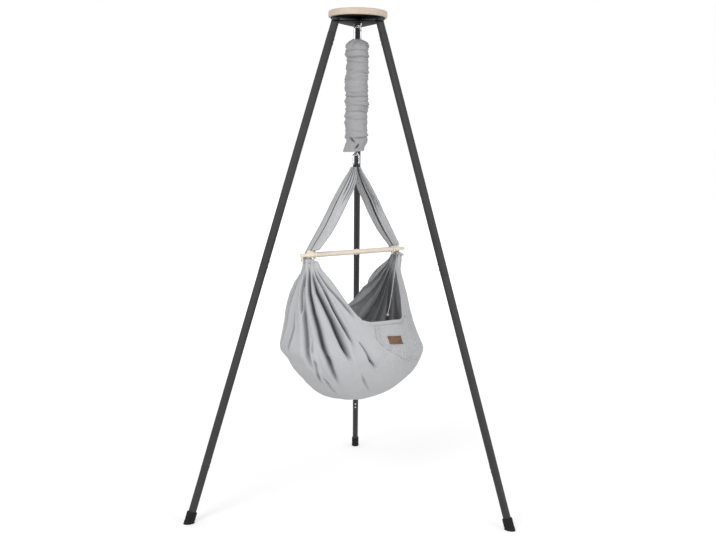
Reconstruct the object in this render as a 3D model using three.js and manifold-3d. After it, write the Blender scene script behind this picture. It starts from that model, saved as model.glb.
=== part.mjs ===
import * as THREE from 'three';
import { mergeVertices } from 'three/addons/utils/BufferGeometryUtils.js';
import Module from 'manifold-3d';

const wasm = await Module();
wasm.setup();

// A baby cradle that hangs on a spring from a three-legged stand.
// All sizes are in millimetres. Z is up and the floor is at zero.

// Stand
const standHeight = 1900;
const footSpread = 682; // a leg's centre line to the stand's axis, at the floor
const legTopSpread = 83; // the same, at the height of the disc's top
const legAzimuthsDeg = { left: 210, right: 330, back: 90 };

// Wooden disc
const discRadius = 112.5;
const discThickness = 24.7;
const discEdgeRadius = 5;
const discSoftShare = 0.3; // of the edge radius, where the rim's round is drawn

// Steel hub
const hubPlateRadius = 104;
const hubPlateThickness = 3;
const hubGap = 13; // between the round plate and the triangular one
const hubTriangleThickness = 4;
const hubCornerSpread = 90;
const hubCornerRadius = 22;
const hubCornerTurnsDeg = [-60, -30, 0, 30, 60];

// Leg tubes, outer sizes along the stand's radius and across it
const upperTube = { radial: 31.5, across: 26 };
const lowerTube = { radial: 30.5, across: 25 };
const footTube = { radial: 29.5, across: 24 };
const tubeWall = 1.6;
const tubeClearance = 0.35;
const upperTubeTopDrop = 88; // below the disc's top
const middleJointHeight = 918;
const lowerJointHeight = 195;
const stubDepth = 110; // of a stub inside its upper tube
const neckLength = 90; // of a lower tube's neck inside the tube above it
const footNeckLength = 70;
const swageLength = 8;

// Leg screws
const screwShankRadius = 2;
const screwHeadRadius = 3.6;
const screwHeadHeight = 1.9;
const screwHeadEdge = 1.1;
const screwHoleClearance = 0.3;
const screwTail = 1; // of the shank past the inner wall
const topScrewDrops = [21, 38]; // below the upper tube's top end
const middleScrewRises = [24, 46]; // above the joint
const lowerScrewRises = [14, 31];

// Rubber feet
const rubberFoot = { radial: 39, across: 31 };
const rubberFlare = 1.2;
const rubberRim = 1.5;
const rubberHeight = 44;
const rubberFloor = 14;
const rubberClearance = 0.35;

// Gaps between pieces that touch
const restGap = 0.3;
const hangGap = 0.8; // between two round wires that hook into each other
const cutOverrun = 5;

// Steel eye under the hub
const eyeWireRadius = 3;
const eyeHalfWidth = 20;
const eyeDrop = 31; // of the wire's centre below the round plate
const eyeTopInset = 3; // below the round plate
const eyeShoulderRise = 13;
const eyeBendShares = { x: 0.82, z: 0.42 };
const eyeBottomShares = { x: 0.42, z: 0.07 };
const eyeSteps = 20;
const nutAcrossFlats = 10;
const nutHeight = 5;
const nutSides = 6;

// The cradle's rest direction: the bar's azimuth
const cradleTurnDeg = 43;

// Upper carabiner
const hook = { length: 73, width: 33, wire: 3.5 };
// Lower carabiner
const link = { length: 46, width: 32, wire: 3 };
// Parts of a carabiner that follow its wire radius
const gateWireShare = 0.86;
const gateFlatShare = 0.46;
const gateSlotShare = 0.55;
const gatePinShare = 0.34;
const gatePinLengthShare = 0.9; // half of the pin's length
const gateHoleGap = 0.3;
const gateNoseGap = 0.4;
const gateNeckShare = 1.45;
const gateHeelShare = 0.85;
const slotDepthShare = 1.3;
const gateInset = 2; // of the gate's two ends from the bends
const carabinerSteps = 28;
const bendSteps = 8; // in each of its two bends

// Safety strap
const strapThickness = 3;
const strapTopWidth = 8;
const strapBottomWidth = 21;
const strapOffset = 9; // from the upper carabiner's plane
const strapDrop = 41; // of its end below the eye
const strapBand = { inner: 4.6, wall: 1.8, width: 7 };
const strapBandRise = 1.8;
const strapCornerRadius = 6;

// Coil spring
const springWireRadius = 2.2;
const springRadius = 20; // of the wire's centre
const springTurns = 16;
const springTopDrop = 25.3; // of the first full curl below the carabiner
const springLength = 322;
const springCurlSteps = 8;
const springSides = 5;
const springRingStartDeg = -70; // where the top ring's free end is
const springRingTurnDeg = 250; // how far the bottom ring goes round

// Cloth sleeve round the spring
const sleeveRadius = 43;
const sleeveWall = 2;
const sleeveTopRise = 19.7; // above the carabiner's lower bend
const sleeveLength = 423;
const sleeveNeck = { along: 27, across: 12 };
const sleeveBore = 36;
const sleeveSeat = { below: 20, above: 8, slope: 10 }; // where it grips the spring's first curls
const sleeveNeckDepth = 16;
const sleeveFoldPitch = 34;
const sleeveFoldDepth = 4;
const sleeveFoldWander = 0.8;
const sleeveBulgeHeight = 9;
const sleeveInnerRings = 6;
const sleeveRings = 42;
const sleeveSides = 16;
const sleeveHemDepth = 22;
const sleeveHemFlare = 3;
const sleeveHemFolds = 5;

// Swivel
const swivelWireRadius = 3;
const swivelRingRadius = 8;
const swivelEyeDrop = 16; // of the upper ring's highest wire centre below the coil
const barrelRadius = 8;
const barrelHeight = 17;
const barrelCavity = { radius: 5.4, height: 8, floor: 3 };
const stemRadius = 3;
const stemClearance = 0.5;
const stemHead = { radius: 4.9, height: 5 };
const lowerEyeRadius = 7.5;
const lowerEyeWireRadius = 2.5;
const stemDrop = 4;

// Webbing loops
const webbingThickness = 2;
const webbingOffset = 5.3; // of a loop from the middle of the lower carabiner
const webbingHalfWidth = 4.8;
const webbingBowRadius = 4.3; // inside the loop
const webbingBowRise = 3.6; // of the loop's upper bend above the carabiner's lowest wire centre
const webbingDrop = 25.5; // of a loop's lower end below the carabiner
const webbingSlotGap = 0.3;

// Spreader bar
const barDrop = 335.5; // below the lower carabiner
const barLength = 540;
const barRadius = 10;
const barTipRadius = 6.5;
const barTipLength = 30;
const barEdge = 2;
const barGap = 0.3;
// Wooden cleats on top of the bar, each with a hole
const cleat = { inset: 46, length: 26, height: 8, thickness: 9, slopeShare: 0.22 };
const cleatSink = 3; // into the bar
const cleatHoleRadius = 2;

// White cord ties on the bar
const tieWireRadius = 2.2;
const tieKnotRadius = 4.4;
const tieGap = 0.6;
const tieSides = 6;
const knotRows = 4;
const tieInset = 67; // from the bar's end
const tieCutGap = 0.5;

// Wings: the gathered ends of the cloth
const wingTopDrop = 5.5; // below the lower carabiner
const wingBelowBar = 20;
const wingBottomInset = 34; // of a wing's middle from the bar's end
const wingWidth = 38; // half of its widest section, across the bar
const wingDepth = 20; // half of its deepest section, along the bar
const wingPleats = 5;
const wingPleatShare = 0.15;
const wingPleatTwist = 1.4;
const wingSides = 20;
const wingGap = 0.4; // half of the gap between the two wings
// Rows of the drop from the top, the middle's offset, the half depth and the half width, as shares
const wingShares = [
  [0, 0.04, 0.45, 0.34],
  [0.06, 0.062, 0.62, 0.52],
  [0.15, 0.13, 0.88, 0.8],
  [0.23, 0.2, 1, 0.92],
  [0.37, 0.345, 1, 1],
  [0.5, 0.462, 1, 1],
  [0.62, 0.585, 0.97, 0.99],
  [0.72, 0.7, 0.95, 0.95],
  [0.81, 0.815, 0.86, 0.84],
  [0.88, 0.9, 0.74, 0.73],
  [0.943, 0.966, 0.72, 0.64],
  [1, 1, 0.72, 0.58],
];

// Cloth bag
const bagSwellShare = 1.39; // the bag's half length to that between its two gathers
const bagHalfWidth = 215; // at its widest
const bagDepth = 565.7;
const bagWall = 4;
const slopeStepShare = 0.01; // of the bag's depth, between the heights that give its slope
const bagSides = 52;
const hemDrop = 238;
const hemLeanShare = 1.35; // the front hem's low point sits towards the right end
const frontHemShare = 0.85;
const backHemShare = 1.3;
const endFoldDepth = 7;
const endFolds = 8;
const bellyFoldDepth = 5;
const bellyFolds = 5;
const bellyFoldPhase = 2;
const bellyFoldTwist = 3;
// Rows of the drop below the bar's gather, the half length and the half width, as shares
const bagShares = [
  [0, 0.72, 0.11],
  [0.04, 0.745, 0.28],
  [0.11, 0.78, 0.465],
  [0.18, 0.82, 0.61],
  [0.34, 0.885, 0.77],
  [0.46, 0.925, 0.86],
  [0.55, 0.965, 0.94],
  [0.63, 1, 1],
  [0.69, 0.985, 0.975],
  [0.76, 0.92, 0.9],
  [0.83, 0.81, 0.78],
  [0.89, 0.675, 0.635],
  [0.94, 0.52, 0.475],
  [0.975, 0.34, 0.3],
  [1, 0.1, 0.09],
];
// Rings of the bag's lower part, as shares of the whole drop, and those between them and the hem
const bagLowerShares = [0.57, 0.66, 0.76, 0.83, 0.89, 0.94, 0.975, 1];
const bagUpperShares = [0, 0.3, 0.64];

// Mattress
const mattressEdgeRing = 3; // the one of the bag's lower rings where its upper edge lies
const mattressDish = 45;
const mattressEdgeRise = 6;
const mattressGap = 0.4;
const mattressTopShares = [0.93, 0.72, 0.4];

// Sewn pocket and bare leather label on the bag's front
const clothGap = 1.5; // between the bag and the pocket
const pocketThickness = 2;
const pocketSpanDeg = [-101, -52];
const pocketBottomRise = 152; // above the bag's bottom
const pocketCornerRise = 92;
const pocketCornerShare = 2.2;
const pocketHemInset = 14;
const pocketGrid = [9, 5];
const labelThickness = 1.6;
const labelGap = 0.5; // between the label and the pocket
const labelWidth = 58;
const labelHeight = 27;
const labelMiddleDeg = -81;
const labelMiddleRise = 244; // above the bag's bottom
const labelShearDeg = 3;
const labelGrid = [6, 3];

// White drawstring with a bead, and two cord ends at the bar's left tip
const cordRadius = 1.75;
const cordSides = 8;
const cordStepShare = 5; // length of a step for each unit of the cord's radius
const beadRadius = 6;
const beadFlat = 1.2;
const beadGap = 0.9;
const beadRows = 6;
// Points in the cradle's own directions: along the bar, across it, and up
const drawstringRoute = [
  [226, -2, 961.7],
  [226, -3, 945],
  [222, -4, 915],
  [216, -3, 880],
  [211, -2, 845],
  [206, -1, 810],
  [199, 0, 770],
  [191, 0, 738],
  [186, 0, 720],
];
const tailRoutes = [
  [
    [-262, -2.2, 975],
    [-264, -5, 962],
    [-268, -8, 948],
    [-274, -10, 932],
    [-281, -11, 916],
  ],
  [
    [-262, 2.2, 975],
    [-265, 5, 960],
    [-270, 7, 945],
    [-275, 8, 930],
    [-279, 9, 920],
  ],
];

// Round shapes
const tubeSides = 16;
const wireSides = 8;
const smallSides = 12;
const roundSides = 32;

const radians = THREE.MathUtils.degToRad;
const legLean = Math.atan((footSpread - legTopSpread) / standHeight);
const alongLeg = (height) => height / Math.cos(legLean);

function finish(color, roughness, metalness = 0) {
  return new THREE.MeshStandardMaterial({ color, roughness, metalness });
}

const beech = finish('#d9b896', 0.55);
const powderCoat = finish('#3b3c3d', 0.6, 0.2);
const blackSteel = finish('#1d1e1f', 0.55, 0.2);
const zinc = finish('#c4c6c8', 0.3, 0.9);
const springSteel = finish('#8f9296', 0.35, 0.9);
const blackRubber = finish('#121212', 0.85);
const greyCloth = finish('#bdbdbf', 0.95);
const innerCloth = finish('#d4d4d4', 0.95);
const blackWebbing = finish('#191919', 0.8);
const whiteCord = finish('#ece9e2', 0.85);
const brownLeather = finish('#7a5438', 0.6);

function part(name, geometry, material) {
  const mesh = new THREE.Mesh(geometry, material);
  mesh.name = name;
  return mesh;
}

// Six times the volume inside a closed mesh
function enclosed(geometry) {
  const position = geometry.attributes.position;
  const corners = [new THREE.Vector3(), new THREE.Vector3(), new THREE.Vector3()];
  const index = geometry.index;
  let total = 0;
  for (let i = 0; i < index.count; i += corners.length) {
    corners.forEach((corner, k) => corner.fromBufferAttribute(position, index.getX(i + k)));
    total += corners[0].dot(corners[1].cross(corners[2]));
  }
  return total;
}

// A mesh from points and triangles, with its faces turned outwards
function closedMesh(points, triangles) {
  const geometry = new THREE.BufferGeometry().setFromPoints(points);
  geometry.setIndex(triangles.flat());
  if (enclosed(geometry) < 0) {
    geometry.setIndex(triangles.map(([a, b, c]) => [a, c, b]).flat());
  }
  geometry.computeVertexNormals();
  return geometry;
}

// A closed solid through rings of points. A loop joins its last ring to its first,
// and otherwise both ends are closed by a fan from the ring's middle.
function loft(rings, loop = false) {
  const count = rings[0].length;
  const points = rings.flat();
  const triangles = [];
  const spans = loop ? rings.length : rings.length - 1;
  for (let i = 0; i < spans; i++) {
    const here = i * count;
    const next = ((i + 1) % rings.length) * count;
    for (let j = 0; j < count; j++) {
      const k = (j + 1) % count;
      triangles.push([here + j, here + k, next + k], [here + j, next + k, next + j]);
    }
  }
  if (!loop) {
    for (const end of [0, rings.length - 1]) {
      const middle = new THREE.Vector3();
      rings[end].forEach((point) => middle.add(point));
      points.push(middle.divideScalar(count));
      for (let j = 0; j < count; j++) {
        const fan = [points.length - 1, end * count + ((j + 1) % count), end * count + j];
        triangles.push(end ? [fan[0], fan[2], fan[1]] : fan);
      }
    }
  }
  return closedMesh(points, triangles);
}

// A closed sheet between two grids of points with the same rows and columns
function sheet(outer, inner) {
  const rows = outer.length;
  const columns = outer[0].length;
  const points = [...outer.flat(), ...inner.flat()];
  const front = (i, j) => i * columns + j;
  const back = (i, j) => rows * columns + i * columns + j;
  const triangles = [];
  const quad = (a, b, c, d) => triangles.push([a, b, c], [a, c, d]);
  for (let i = 0; i < rows - 1; i++) {
    for (let j = 0; j < columns - 1; j++) {
      quad(front(i, j), front(i, j + 1), front(i + 1, j + 1), front(i + 1, j));
      quad(back(i, j), back(i + 1, j), back(i + 1, j + 1), back(i, j + 1));
    }
    quad(front(i, 0), front(i + 1, 0), back(i + 1, 0), back(i, 0));
    const last = columns - 1;
    quad(front(i + 1, last), front(i, last), back(i, last), back(i + 1, last));
  }
  for (let j = 0; j < columns - 1; j++) {
    quad(front(0, j + 1), front(0, j), back(0, j), back(0, j + 1));
    const last = rows - 1;
    quad(front(last, j), front(last, j + 1), back(last, j + 1), back(last, j));
  }
  return closedMesh(points, triangles);
}

function toSolid(geometry) {
  const plain = geometry.clone();
  plain.deleteAttribute('normal');
  plain.deleteAttribute('uv');
  const merged = mergeVertices(plain);
  return new wasm.Manifold(
    new wasm.Mesh({
      numProp: 3,
      vertProperties: new Float32Array(merged.attributes.position.array),
      triVerts: new Uint32Array(merged.index.array),
    }),
  );
}

function toGeometry(solid) {
  const mesh = solid.getMesh();
  const geometry = new THREE.BufferGeometry();
  geometry.setAttribute('position', new THREE.BufferAttribute(mesh.vertProperties, mesh.numProp));
  geometry.setIndex(new THREE.BufferAttribute(mesh.triVerts, 1));
  geometry.computeVertexNormals();
  return geometry;
}

function joined(...geometries) {
  return toGeometry(geometries.map(toSolid).reduce((whole, piece) => whole.add(piece)));
}

function cutBy(geometry, ...cutters) {
  return toGeometry(cutters.map(toSolid).reduce((rest, cutter) => rest.subtract(cutter), toSolid(geometry)));
}

function ovalRing(radial, across, height, sides = tubeSides) {
  return Array.from({ length: sides }, (_, i) => {
    const angle = (i / sides) * Math.PI * 2;
    return new THREE.Vector3((radial / 2) * Math.cos(angle), (across / 2) * Math.sin(angle), height);
  });
}

function roundShape(radius, sides) {
  const points = ovalRing(radius * 2, radius * 2, 0, sides);
  return new THREE.Shape(points.map(({ x, y }) => new THREE.Vector2(x, y)));
}

function wire(points, radius, steps, sides = wireSides) {
  const path = new THREE.CatmullRomCurve3(points, false, 'centripetal');
  return new THREE.ExtrudeGeometry(roundShape(radius, sides), { steps, extrudePath: path });
}

function at(geometry, x, y, z) {
  return geometry.translate(x, y, z);
}

// A cylinder along one of the axes, between two places on it
function rod(axis, radius, from, to, sides = smallSides) {
  const cylinder = new THREE.CylinderGeometry(radius, radius, to - from, sides);
  cylinder.translate(0, (from + to) / 2, 0);
  if (axis === 'x') cylinder.rotateZ(-Math.PI / 2);
  if (axis === 'z') cylinder.rotateX(Math.PI / 2);
  return cylinder;
}

function block(low, high) {
  const size = high.map((value, i) => value - low[i]);
  const middle = high.map((value, i) => (value + low[i]) / 2);
  return at(new THREE.BoxGeometry(...size), ...middle);
}

function turned(profile, sides) {
  const points = profile.map(([radius, height]) => new THREE.Vector2(radius, height));
  return new THREE.LatheGeometry(points, sides).rotateX(Math.PI / 2);
}

// Legs. Each is drawn with Z up the leg and X away from the stand's axis.
const hubTop = standHeight - discThickness - restGap;
const hubPlateUnder = hubTop - hubPlateThickness;
const triangleTop = hubPlateUnder - hubGap;
const triangleUnder = triangleTop - hubTriangleThickness;
const eyeBottomHeight = hubPlateUnder - eyeDrop;
const spigotOf = (tube) => ({
  radial: tube.radial - 2 * (tubeWall + tubeClearance),
  across: tube.across - 2 * (tubeWall + tubeClearance),
});
const boreOf = (tube) => ({ radial: tube.radial - 2 * tubeWall, across: tube.across - 2 * tubeWall });

function legMatrix(azimuthDeg) {
  const turn = new THREE.Matrix4().makeRotationZ(radians(azimuthDeg));
  const stand = new THREE.Matrix4().makeTranslation(footSpread, 0, 0);
  const lean = new THREE.Matrix4().makeRotationY(-legLean);
  return turn.multiply(stand).multiply(lean);
}

function straightTube(tube, from, to) {
  const bore = boreOf(tube);
  return loft(
    [
      ovalRing(tube.radial, tube.across, from),
      ovalRing(tube.radial, tube.across, to),
      ovalRing(bore.radial, bore.across, to),
      ovalRing(bore.radial, bore.across, from),
    ],
    true,
  );
}

// A tube with a narrower neck at its top, which fits the tube above it
function neckedTube(tube, above, from, shoulder, top) {
  const bore = boreOf(tube);
  const neck = spigotOf(above);
  const neckBore = boreOf(neck);
  return loft(
    [
      ovalRing(tube.radial, tube.across, from),
      ovalRing(tube.radial, tube.across, shoulder),
      ovalRing(neck.radial, neck.across, shoulder),
      ovalRing(neck.radial, neck.across, top),
      ovalRing(neckBore.radial, neckBore.across, top),
      ovalRing(neckBore.radial, neckBore.across, shoulder - swageLength / 2),
      ovalRing(bore.radial, bore.across, shoulder - swageLength),
      ovalRing(bore.radial, bore.across, from),
    ],
    true,
  );
}

const screwWalls = 2 * tubeWall + tubeClearance + restGap + screwTail;
const screwShape = turned(
  [
    [0, -screwWalls],
    [screwShankRadius, -screwWalls],
    [screwShankRadius, 0],
    [screwHeadRadius, 0],
    [screwHeadRadius, screwHeadEdge],
    [0, screwHeadHeight],
  ],
  wireSides,
).rotateY(-Math.PI / 2);

function screwHole(tube, height) {
  const holeRadius = (screwShankRadius + screwHoleClearance) / Math.cos(Math.PI / wireSides);
  return at(rod('x', holeRadius, -tube.radial / 2 - cutOverrun, -tube.radial / 4, wireSides), 0, 0, height);
}

function screwAt(name, tube, height) {
  return part(name, at(screwShape.clone(), -tube.radial / 2 - restGap, 0, height), zinc);
}

const upperTop = alongLeg(standHeight - upperTubeTopDrop);
const middleJoint = alongLeg(middleJointHeight);
const lowerJoint = alongLeg(lowerJointHeight);
const topScrews = topScrewDrops.map((drop) => upperTop - drop);
const middleScrews = middleScrewRises.map((rise) => middleJoint + rise);
const lowerScrews = lowerScrewRises.map((rise) => lowerJoint + rise);
const holes = (tube, heights) => heights.map((height) => screwHole(tube, height));

const upperTubeShape = cutBy(
  straightTube(upperTube, middleJoint, upperTop),
  ...holes(upperTube, [...topScrews, ...middleScrews]),
);
const lowerTubeShape = cutBy(
  neckedTube(lowerTube, upperTube, lowerJoint, middleJoint - restGap, middleJoint + neckLength),
  ...holes(upperTube, middleScrews),
  ...holes(lowerTube, lowerScrews),
);
const footTubeShape = cutBy(
  neckedTube(footTube, lowerTube, rubberFloor + restGap, lowerJoint - restGap, lowerJoint + footNeckLength),
  ...holes(lowerTube, lowerScrews),
);

function rubberFootShape() {
  const wide = (extra) => [rubberFoot.radial + extra, rubberFoot.across + extra];
  const bore = [footTube.radial + 2 * rubberClearance, footTube.across + 2 * rubberClearance];
  const cup = loft([
    ovalRing(...wide(rubberFlare), -rubberFloor),
    ovalRing(...wide(rubberFlare), rubberFloor / 2),
    ovalRing(...wide(0), rubberFloor),
    ovalRing(...wide(0), rubberHeight - rubberRim),
    ovalRing(...wide(-2 * rubberRim), rubberHeight),
    ovalRing(...bore, rubberHeight),
    ovalRing(...bore, rubberFloor),
  ]);
  const reach = rubberFoot.radial * 2;
  const underFloor = block([-reach, -reach, -reach], [reach, reach, 0]);
  return cutBy(cup, underFloor.rotateY(legLean));
}

const rubberShape = rubberFootShape();

function leg(side, azimuthDeg) {
  const group = new THREE.Group();
  group.applyMatrix4(legMatrix(azimuthDeg));
  group.add(
    part(`upper_tube_${side}`, upperTubeShape, powderCoat),
    part(`lower_tube_${side}`, lowerTubeShape, powderCoat),
    part(`foot_tube_${side}`, footTubeShape, powderCoat),
    part(`rubber_foot_${side}`, rubberShape, blackRubber),
  );
  const joints = [
    ['top', upperTube, topScrews],
    ['middle', upperTube, middleScrews],
    ['lower', lowerTube, lowerScrews],
  ];
  for (const [joint, tube, heights] of joints) {
    heights.forEach((height, i) => group.add(screwAt(`${joint}_screw_${side}_${i + 1}`, tube, height)));
  }
  return group;
}

const ovalRod = (size, from, to) =>
  loft([ovalRing(size.radial, size.across, from), ovalRing(size.radial, size.across, to)]);

// Hub: a round plate, a triangular plate with round corners, and a stub for each leg
function hubShape() {
  const roundPlate = rod('z', hubPlateRadius, hubPlateUnder, hubTop, roundSides);
  const corners = Object.values(legAzimuthsDeg).sort((a, b) => a - b);
  const outline = corners.flatMap((azimuth) => {
    const middle = new THREE.Vector2(hubCornerSpread, 0).rotateAround(new THREE.Vector2(), radians(azimuth));
    return hubCornerTurnsDeg.map((offset) => {
      const turn = radians(azimuth + offset);
      const corner = new THREE.Vector2(Math.cos(turn), Math.sin(turn));
      return corner.multiplyScalar(hubCornerRadius).add(middle);
    });
  });
  const triangle = new THREE.ExtrudeGeometry(new THREE.Shape(outline), {
    depth: hubTriangleThickness,
    bevelEnabled: false,
  }).translate(0, 0, triangleUnder);
  const spigot = spigotOf(upperTube);
  const bore = boreOf(spigot);
  const low = upperTop - stubDepth;
  const high = alongLeg(standHeight);
  const legs = Object.values(legAzimuthsDeg).map(legMatrix);
  const stubs = legs.map((matrix) =>
    ovalRod(spigot, low, high).applyMatrix4(matrix),
  );
  const bores = legs.map((matrix) =>
    ovalRod(bore, low - cutOverrun, high).applyMatrix4(matrix),
  );
  const reach = 2 * hubPlateRadius;
  const above = (height) => block([-reach, -reach, height], [reach, reach, standHeight + reach]);
  const filled = cutBy(joined(...stubs.map((stub) => cutBy(stub, above(hubPlateUnder + hubPlateThickness / 2)))));
  const body = joined(roundPlate, triangle, filled);
  const screwHoles = legs.flatMap((matrix) =>
    holes(upperTube, topScrews).map((hole) => hole.applyMatrix4(matrix)),
  );
  const eyeHoleRadius = (eyeWireRadius + restGap) / Math.cos(Math.PI / smallSides);
  const eyeHoles = [-1, 1].map((side) => {
    const hole = rod('z', eyeHoleRadius, triangleUnder - cutOverrun, triangleTop + cutOverrun);
    return at(hole, 0, side * eyeHalfWidth, 0).rotateZ(radians(cradleTurnDeg));
  });
  const trimmedBores = bores.map((bore) => cutBy(bore, above(hubPlateUnder)));
  return cutBy(body, ...trimmedBores, ...screwHoles, ...eyeHoles);
}

function discShape() {
  const low = standHeight - discThickness;
  const edge = discEdgeRadius;
  return turned(
    [
      [0, low],
      [discRadius - edge, low],
      [discRadius - edge * discSoftShare, low + edge * discSoftShare],
      [discRadius, low + edge],
      [discRadius, standHeight - edge],
      [discRadius - edge * discSoftShare, standHeight - edge * discSoftShare],
      [discRadius - edge, standHeight],
      [0, standHeight],
    ],
    roundSides,
  );
}

// Eye: a bent wire whose two ends pass the triangular plate. It lies across the bar's direction.
const eyeTop = hubPlateUnder - eyeTopInset;

function eyeShape() {
  const shoulder = eyeBottomHeight + eyeShoulderRise;
  const half = [
    [eyeHalfWidth, eyeTop],
    [eyeHalfWidth, (eyeTop + shoulder) / 2],
    [eyeHalfWidth, shoulder],
    [eyeHalfWidth * eyeBendShares.x, eyeBottomHeight + eyeShoulderRise * eyeBendShares.z],
    [eyeHalfWidth * eyeBottomShares.x, eyeBottomHeight + eyeShoulderRise * eyeBottomShares.z],
  ];
  const mirrored = half.map(([y, z]) => [-y, z]).reverse();
  const points = [...half, [0, eyeBottomHeight], ...mirrored].map(([y, z]) => new THREE.Vector3(0, y, z));
  return wire(points, eyeWireRadius, eyeSteps);
}

function nutShape(side) {
  const outline = roundShape(nutAcrossFlats / Math.sqrt(3), nutSides);
  outline.holes.push(roundShape((eyeWireRadius + restGap) / Math.cos(Math.PI / smallSides), smallSides));
  const prism = new THREE.ExtrudeGeometry(outline, { depth: nutHeight, bevelEnabled: false });
  return at(prism, 0, side * eyeHalfWidth, triangleTop + restGap);
}

// Carabiner, in the plane of X and Z, with the wire's centre at the top at the given height
function carabinerParts({ length, width, wire: radius }, top) {
  const bend = width / 2;
  const upper = top - bend;
  const lower = top - length + bend;
  const nose = upper - gateInset;
  const pivot = lower + gateInset;
  const arc = (middle, from, to) =>
    Array.from({ length: bendSteps + 1 }, (_, i) => {
      const angle = radians(from + ((to - from) * i) / bendSteps);
      return new THREE.Vector3(bend * Math.cos(angle), 0, middle + bend * Math.sin(angle));
    });
  const path = [
    new THREE.Vector3(bend, 0, nose),
    ...arc(upper, 0, 180),
    new THREE.Vector3(-bend, 0, (upper + lower) / 2),
    ...arc(lower, 180, 360),
    new THREE.Vector3(bend, 0, pivot + radius),
  ];
  const frame = wire(path, radius, carabinerSteps);
  const slotHalf = radius * gateSlotShare;
  const slot = block(
    [bend - 2 * radius, -slotHalf, pivot - radius * slotDepthShare],
    [bend + 2 * radius, slotHalf, pivot + 2 * radius],
  );
  const pinRadius = radius * gatePinShare;
  const pinHalf = radius * gatePinLengthShare;
  const pin = at(rod('y', pinRadius, -pinHalf, pinHalf), bend, 0, pivot);
  const body = toGeometry(toSolid(cutBy(frame, slot)).add(toSolid(pin)));
  const gateRadius = radius * gateWireShare;
  const bar = at(rod('z', gateRadius, pivot - radius * gateHeelShare, nose - gateNoseGap), bend, 0, 0);
  const flat = radius * gateFlatShare;
  const shoulder = pivot + radius * gateNeckShare;
  const trims = [-1, 1].map((side) =>
    block(
      [bend - 2 * radius, side > 0 ? flat : -2 * radius, pivot - 2 * radius],
      [bend + 2 * radius, side > 0 ? 2 * radius : -flat, shoulder],
    ),
  );
  const hole = at(rod('y', (pinRadius + gateHoleGap) / Math.cos(Math.PI / smallSides), -radius, radius), bend, 0, pivot);
  const gate = cutBy(bar, ...trims, hole);
  return { body, gate, pivot: [bend, 0, pivot], bottom: top - length };
}

// Safety strap: a band round the eye's wire, and webbing that widens towards the sleeve
function strapShape() {
  const bandHeight = eyeBottomHeight + strapBandRise;
  const { inner, wall, width } = strapBand;
  const ring = new THREE.LatheGeometry(
    [
      new THREE.Vector2(inner, -width / 2),
      new THREE.Vector2(inner + wall, -width / 2),
      new THREE.Vector2(inner + wall, width / 2),
      new THREE.Vector2(inner, width / 2),
      new THREE.Vector2(inner, -width / 2),
    ],
    tubeSides,
  );
  at(ring, 0, strapOffset, bandHeight);
  const top = bandHeight - inner - wall / 2;
  const corner = strapCornerRadius;
  const bottom = eyeBottomHeight - strapDrop;
  const outline = new THREE.Shape([
    new THREE.Vector2(-strapTopWidth / 2, top),
    new THREE.Vector2(-strapBottomWidth / 2, bottom + corner),
    new THREE.Vector2(-strapBottomWidth / 2 + corner, bottom),
    new THREE.Vector2(strapBottomWidth / 2 - corner, bottom),
    new THREE.Vector2(strapBottomWidth / 2, bottom + corner),
    new THREE.Vector2(strapTopWidth / 2, top),
  ]);
  const plate = new THREE.ExtrudeGeometry(outline, { depth: strapThickness, bevelEnabled: false });
  plate.rotateX(Math.PI / 2).translate(0, strapOffset + strapThickness / 2, 0);
  return joined(ring, plate);
}

const group = new THREE.Group();
const stand = new THREE.Group();
const hanging = new THREE.Group();
hanging.rotation.z = radians(cradleTurnDeg);
group.add(stand, hanging);

for (const [side, azimuth] of Object.entries(legAzimuthsDeg)) stand.add(leg(side, azimuth));
stand.add(part('top_disc', discShape(), beech), part('hub', hubShape(), blackSteel));
hanging.add(part('eye_bolt', eyeShape(), zinc));
[-1, 1].forEach((side, i) => hanging.add(part(`eye_nut_${i + 1}`, nutShape(side), zinc)));

const hookTop = eyeBottomHeight + eyeWireRadius + hook.wire + hangGap;
const hookParts = carabinerParts(hook, hookTop);
hanging.add(
  part('hook_body', hookParts.body, zinc),
  part('hook_gate', hookParts.gate, zinc),
  part('safety_strap', strapShape(), blackWebbing),
);

// Spring: a ring on the upper carabiner's bow, the coil, and a ring on the swivel's eye
const springTopRing = hook.wire + springWireRadius + hangGap;
const springBottomRing = swivelWireRadius + springWireRadius + hangGap;
const springTopHeight = hookParts.bottom - springTopDrop;
const springBottomHeight = springTopHeight - springLength;
const swivelEyeHeight = springBottomHeight - swivelEyeDrop;

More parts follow.
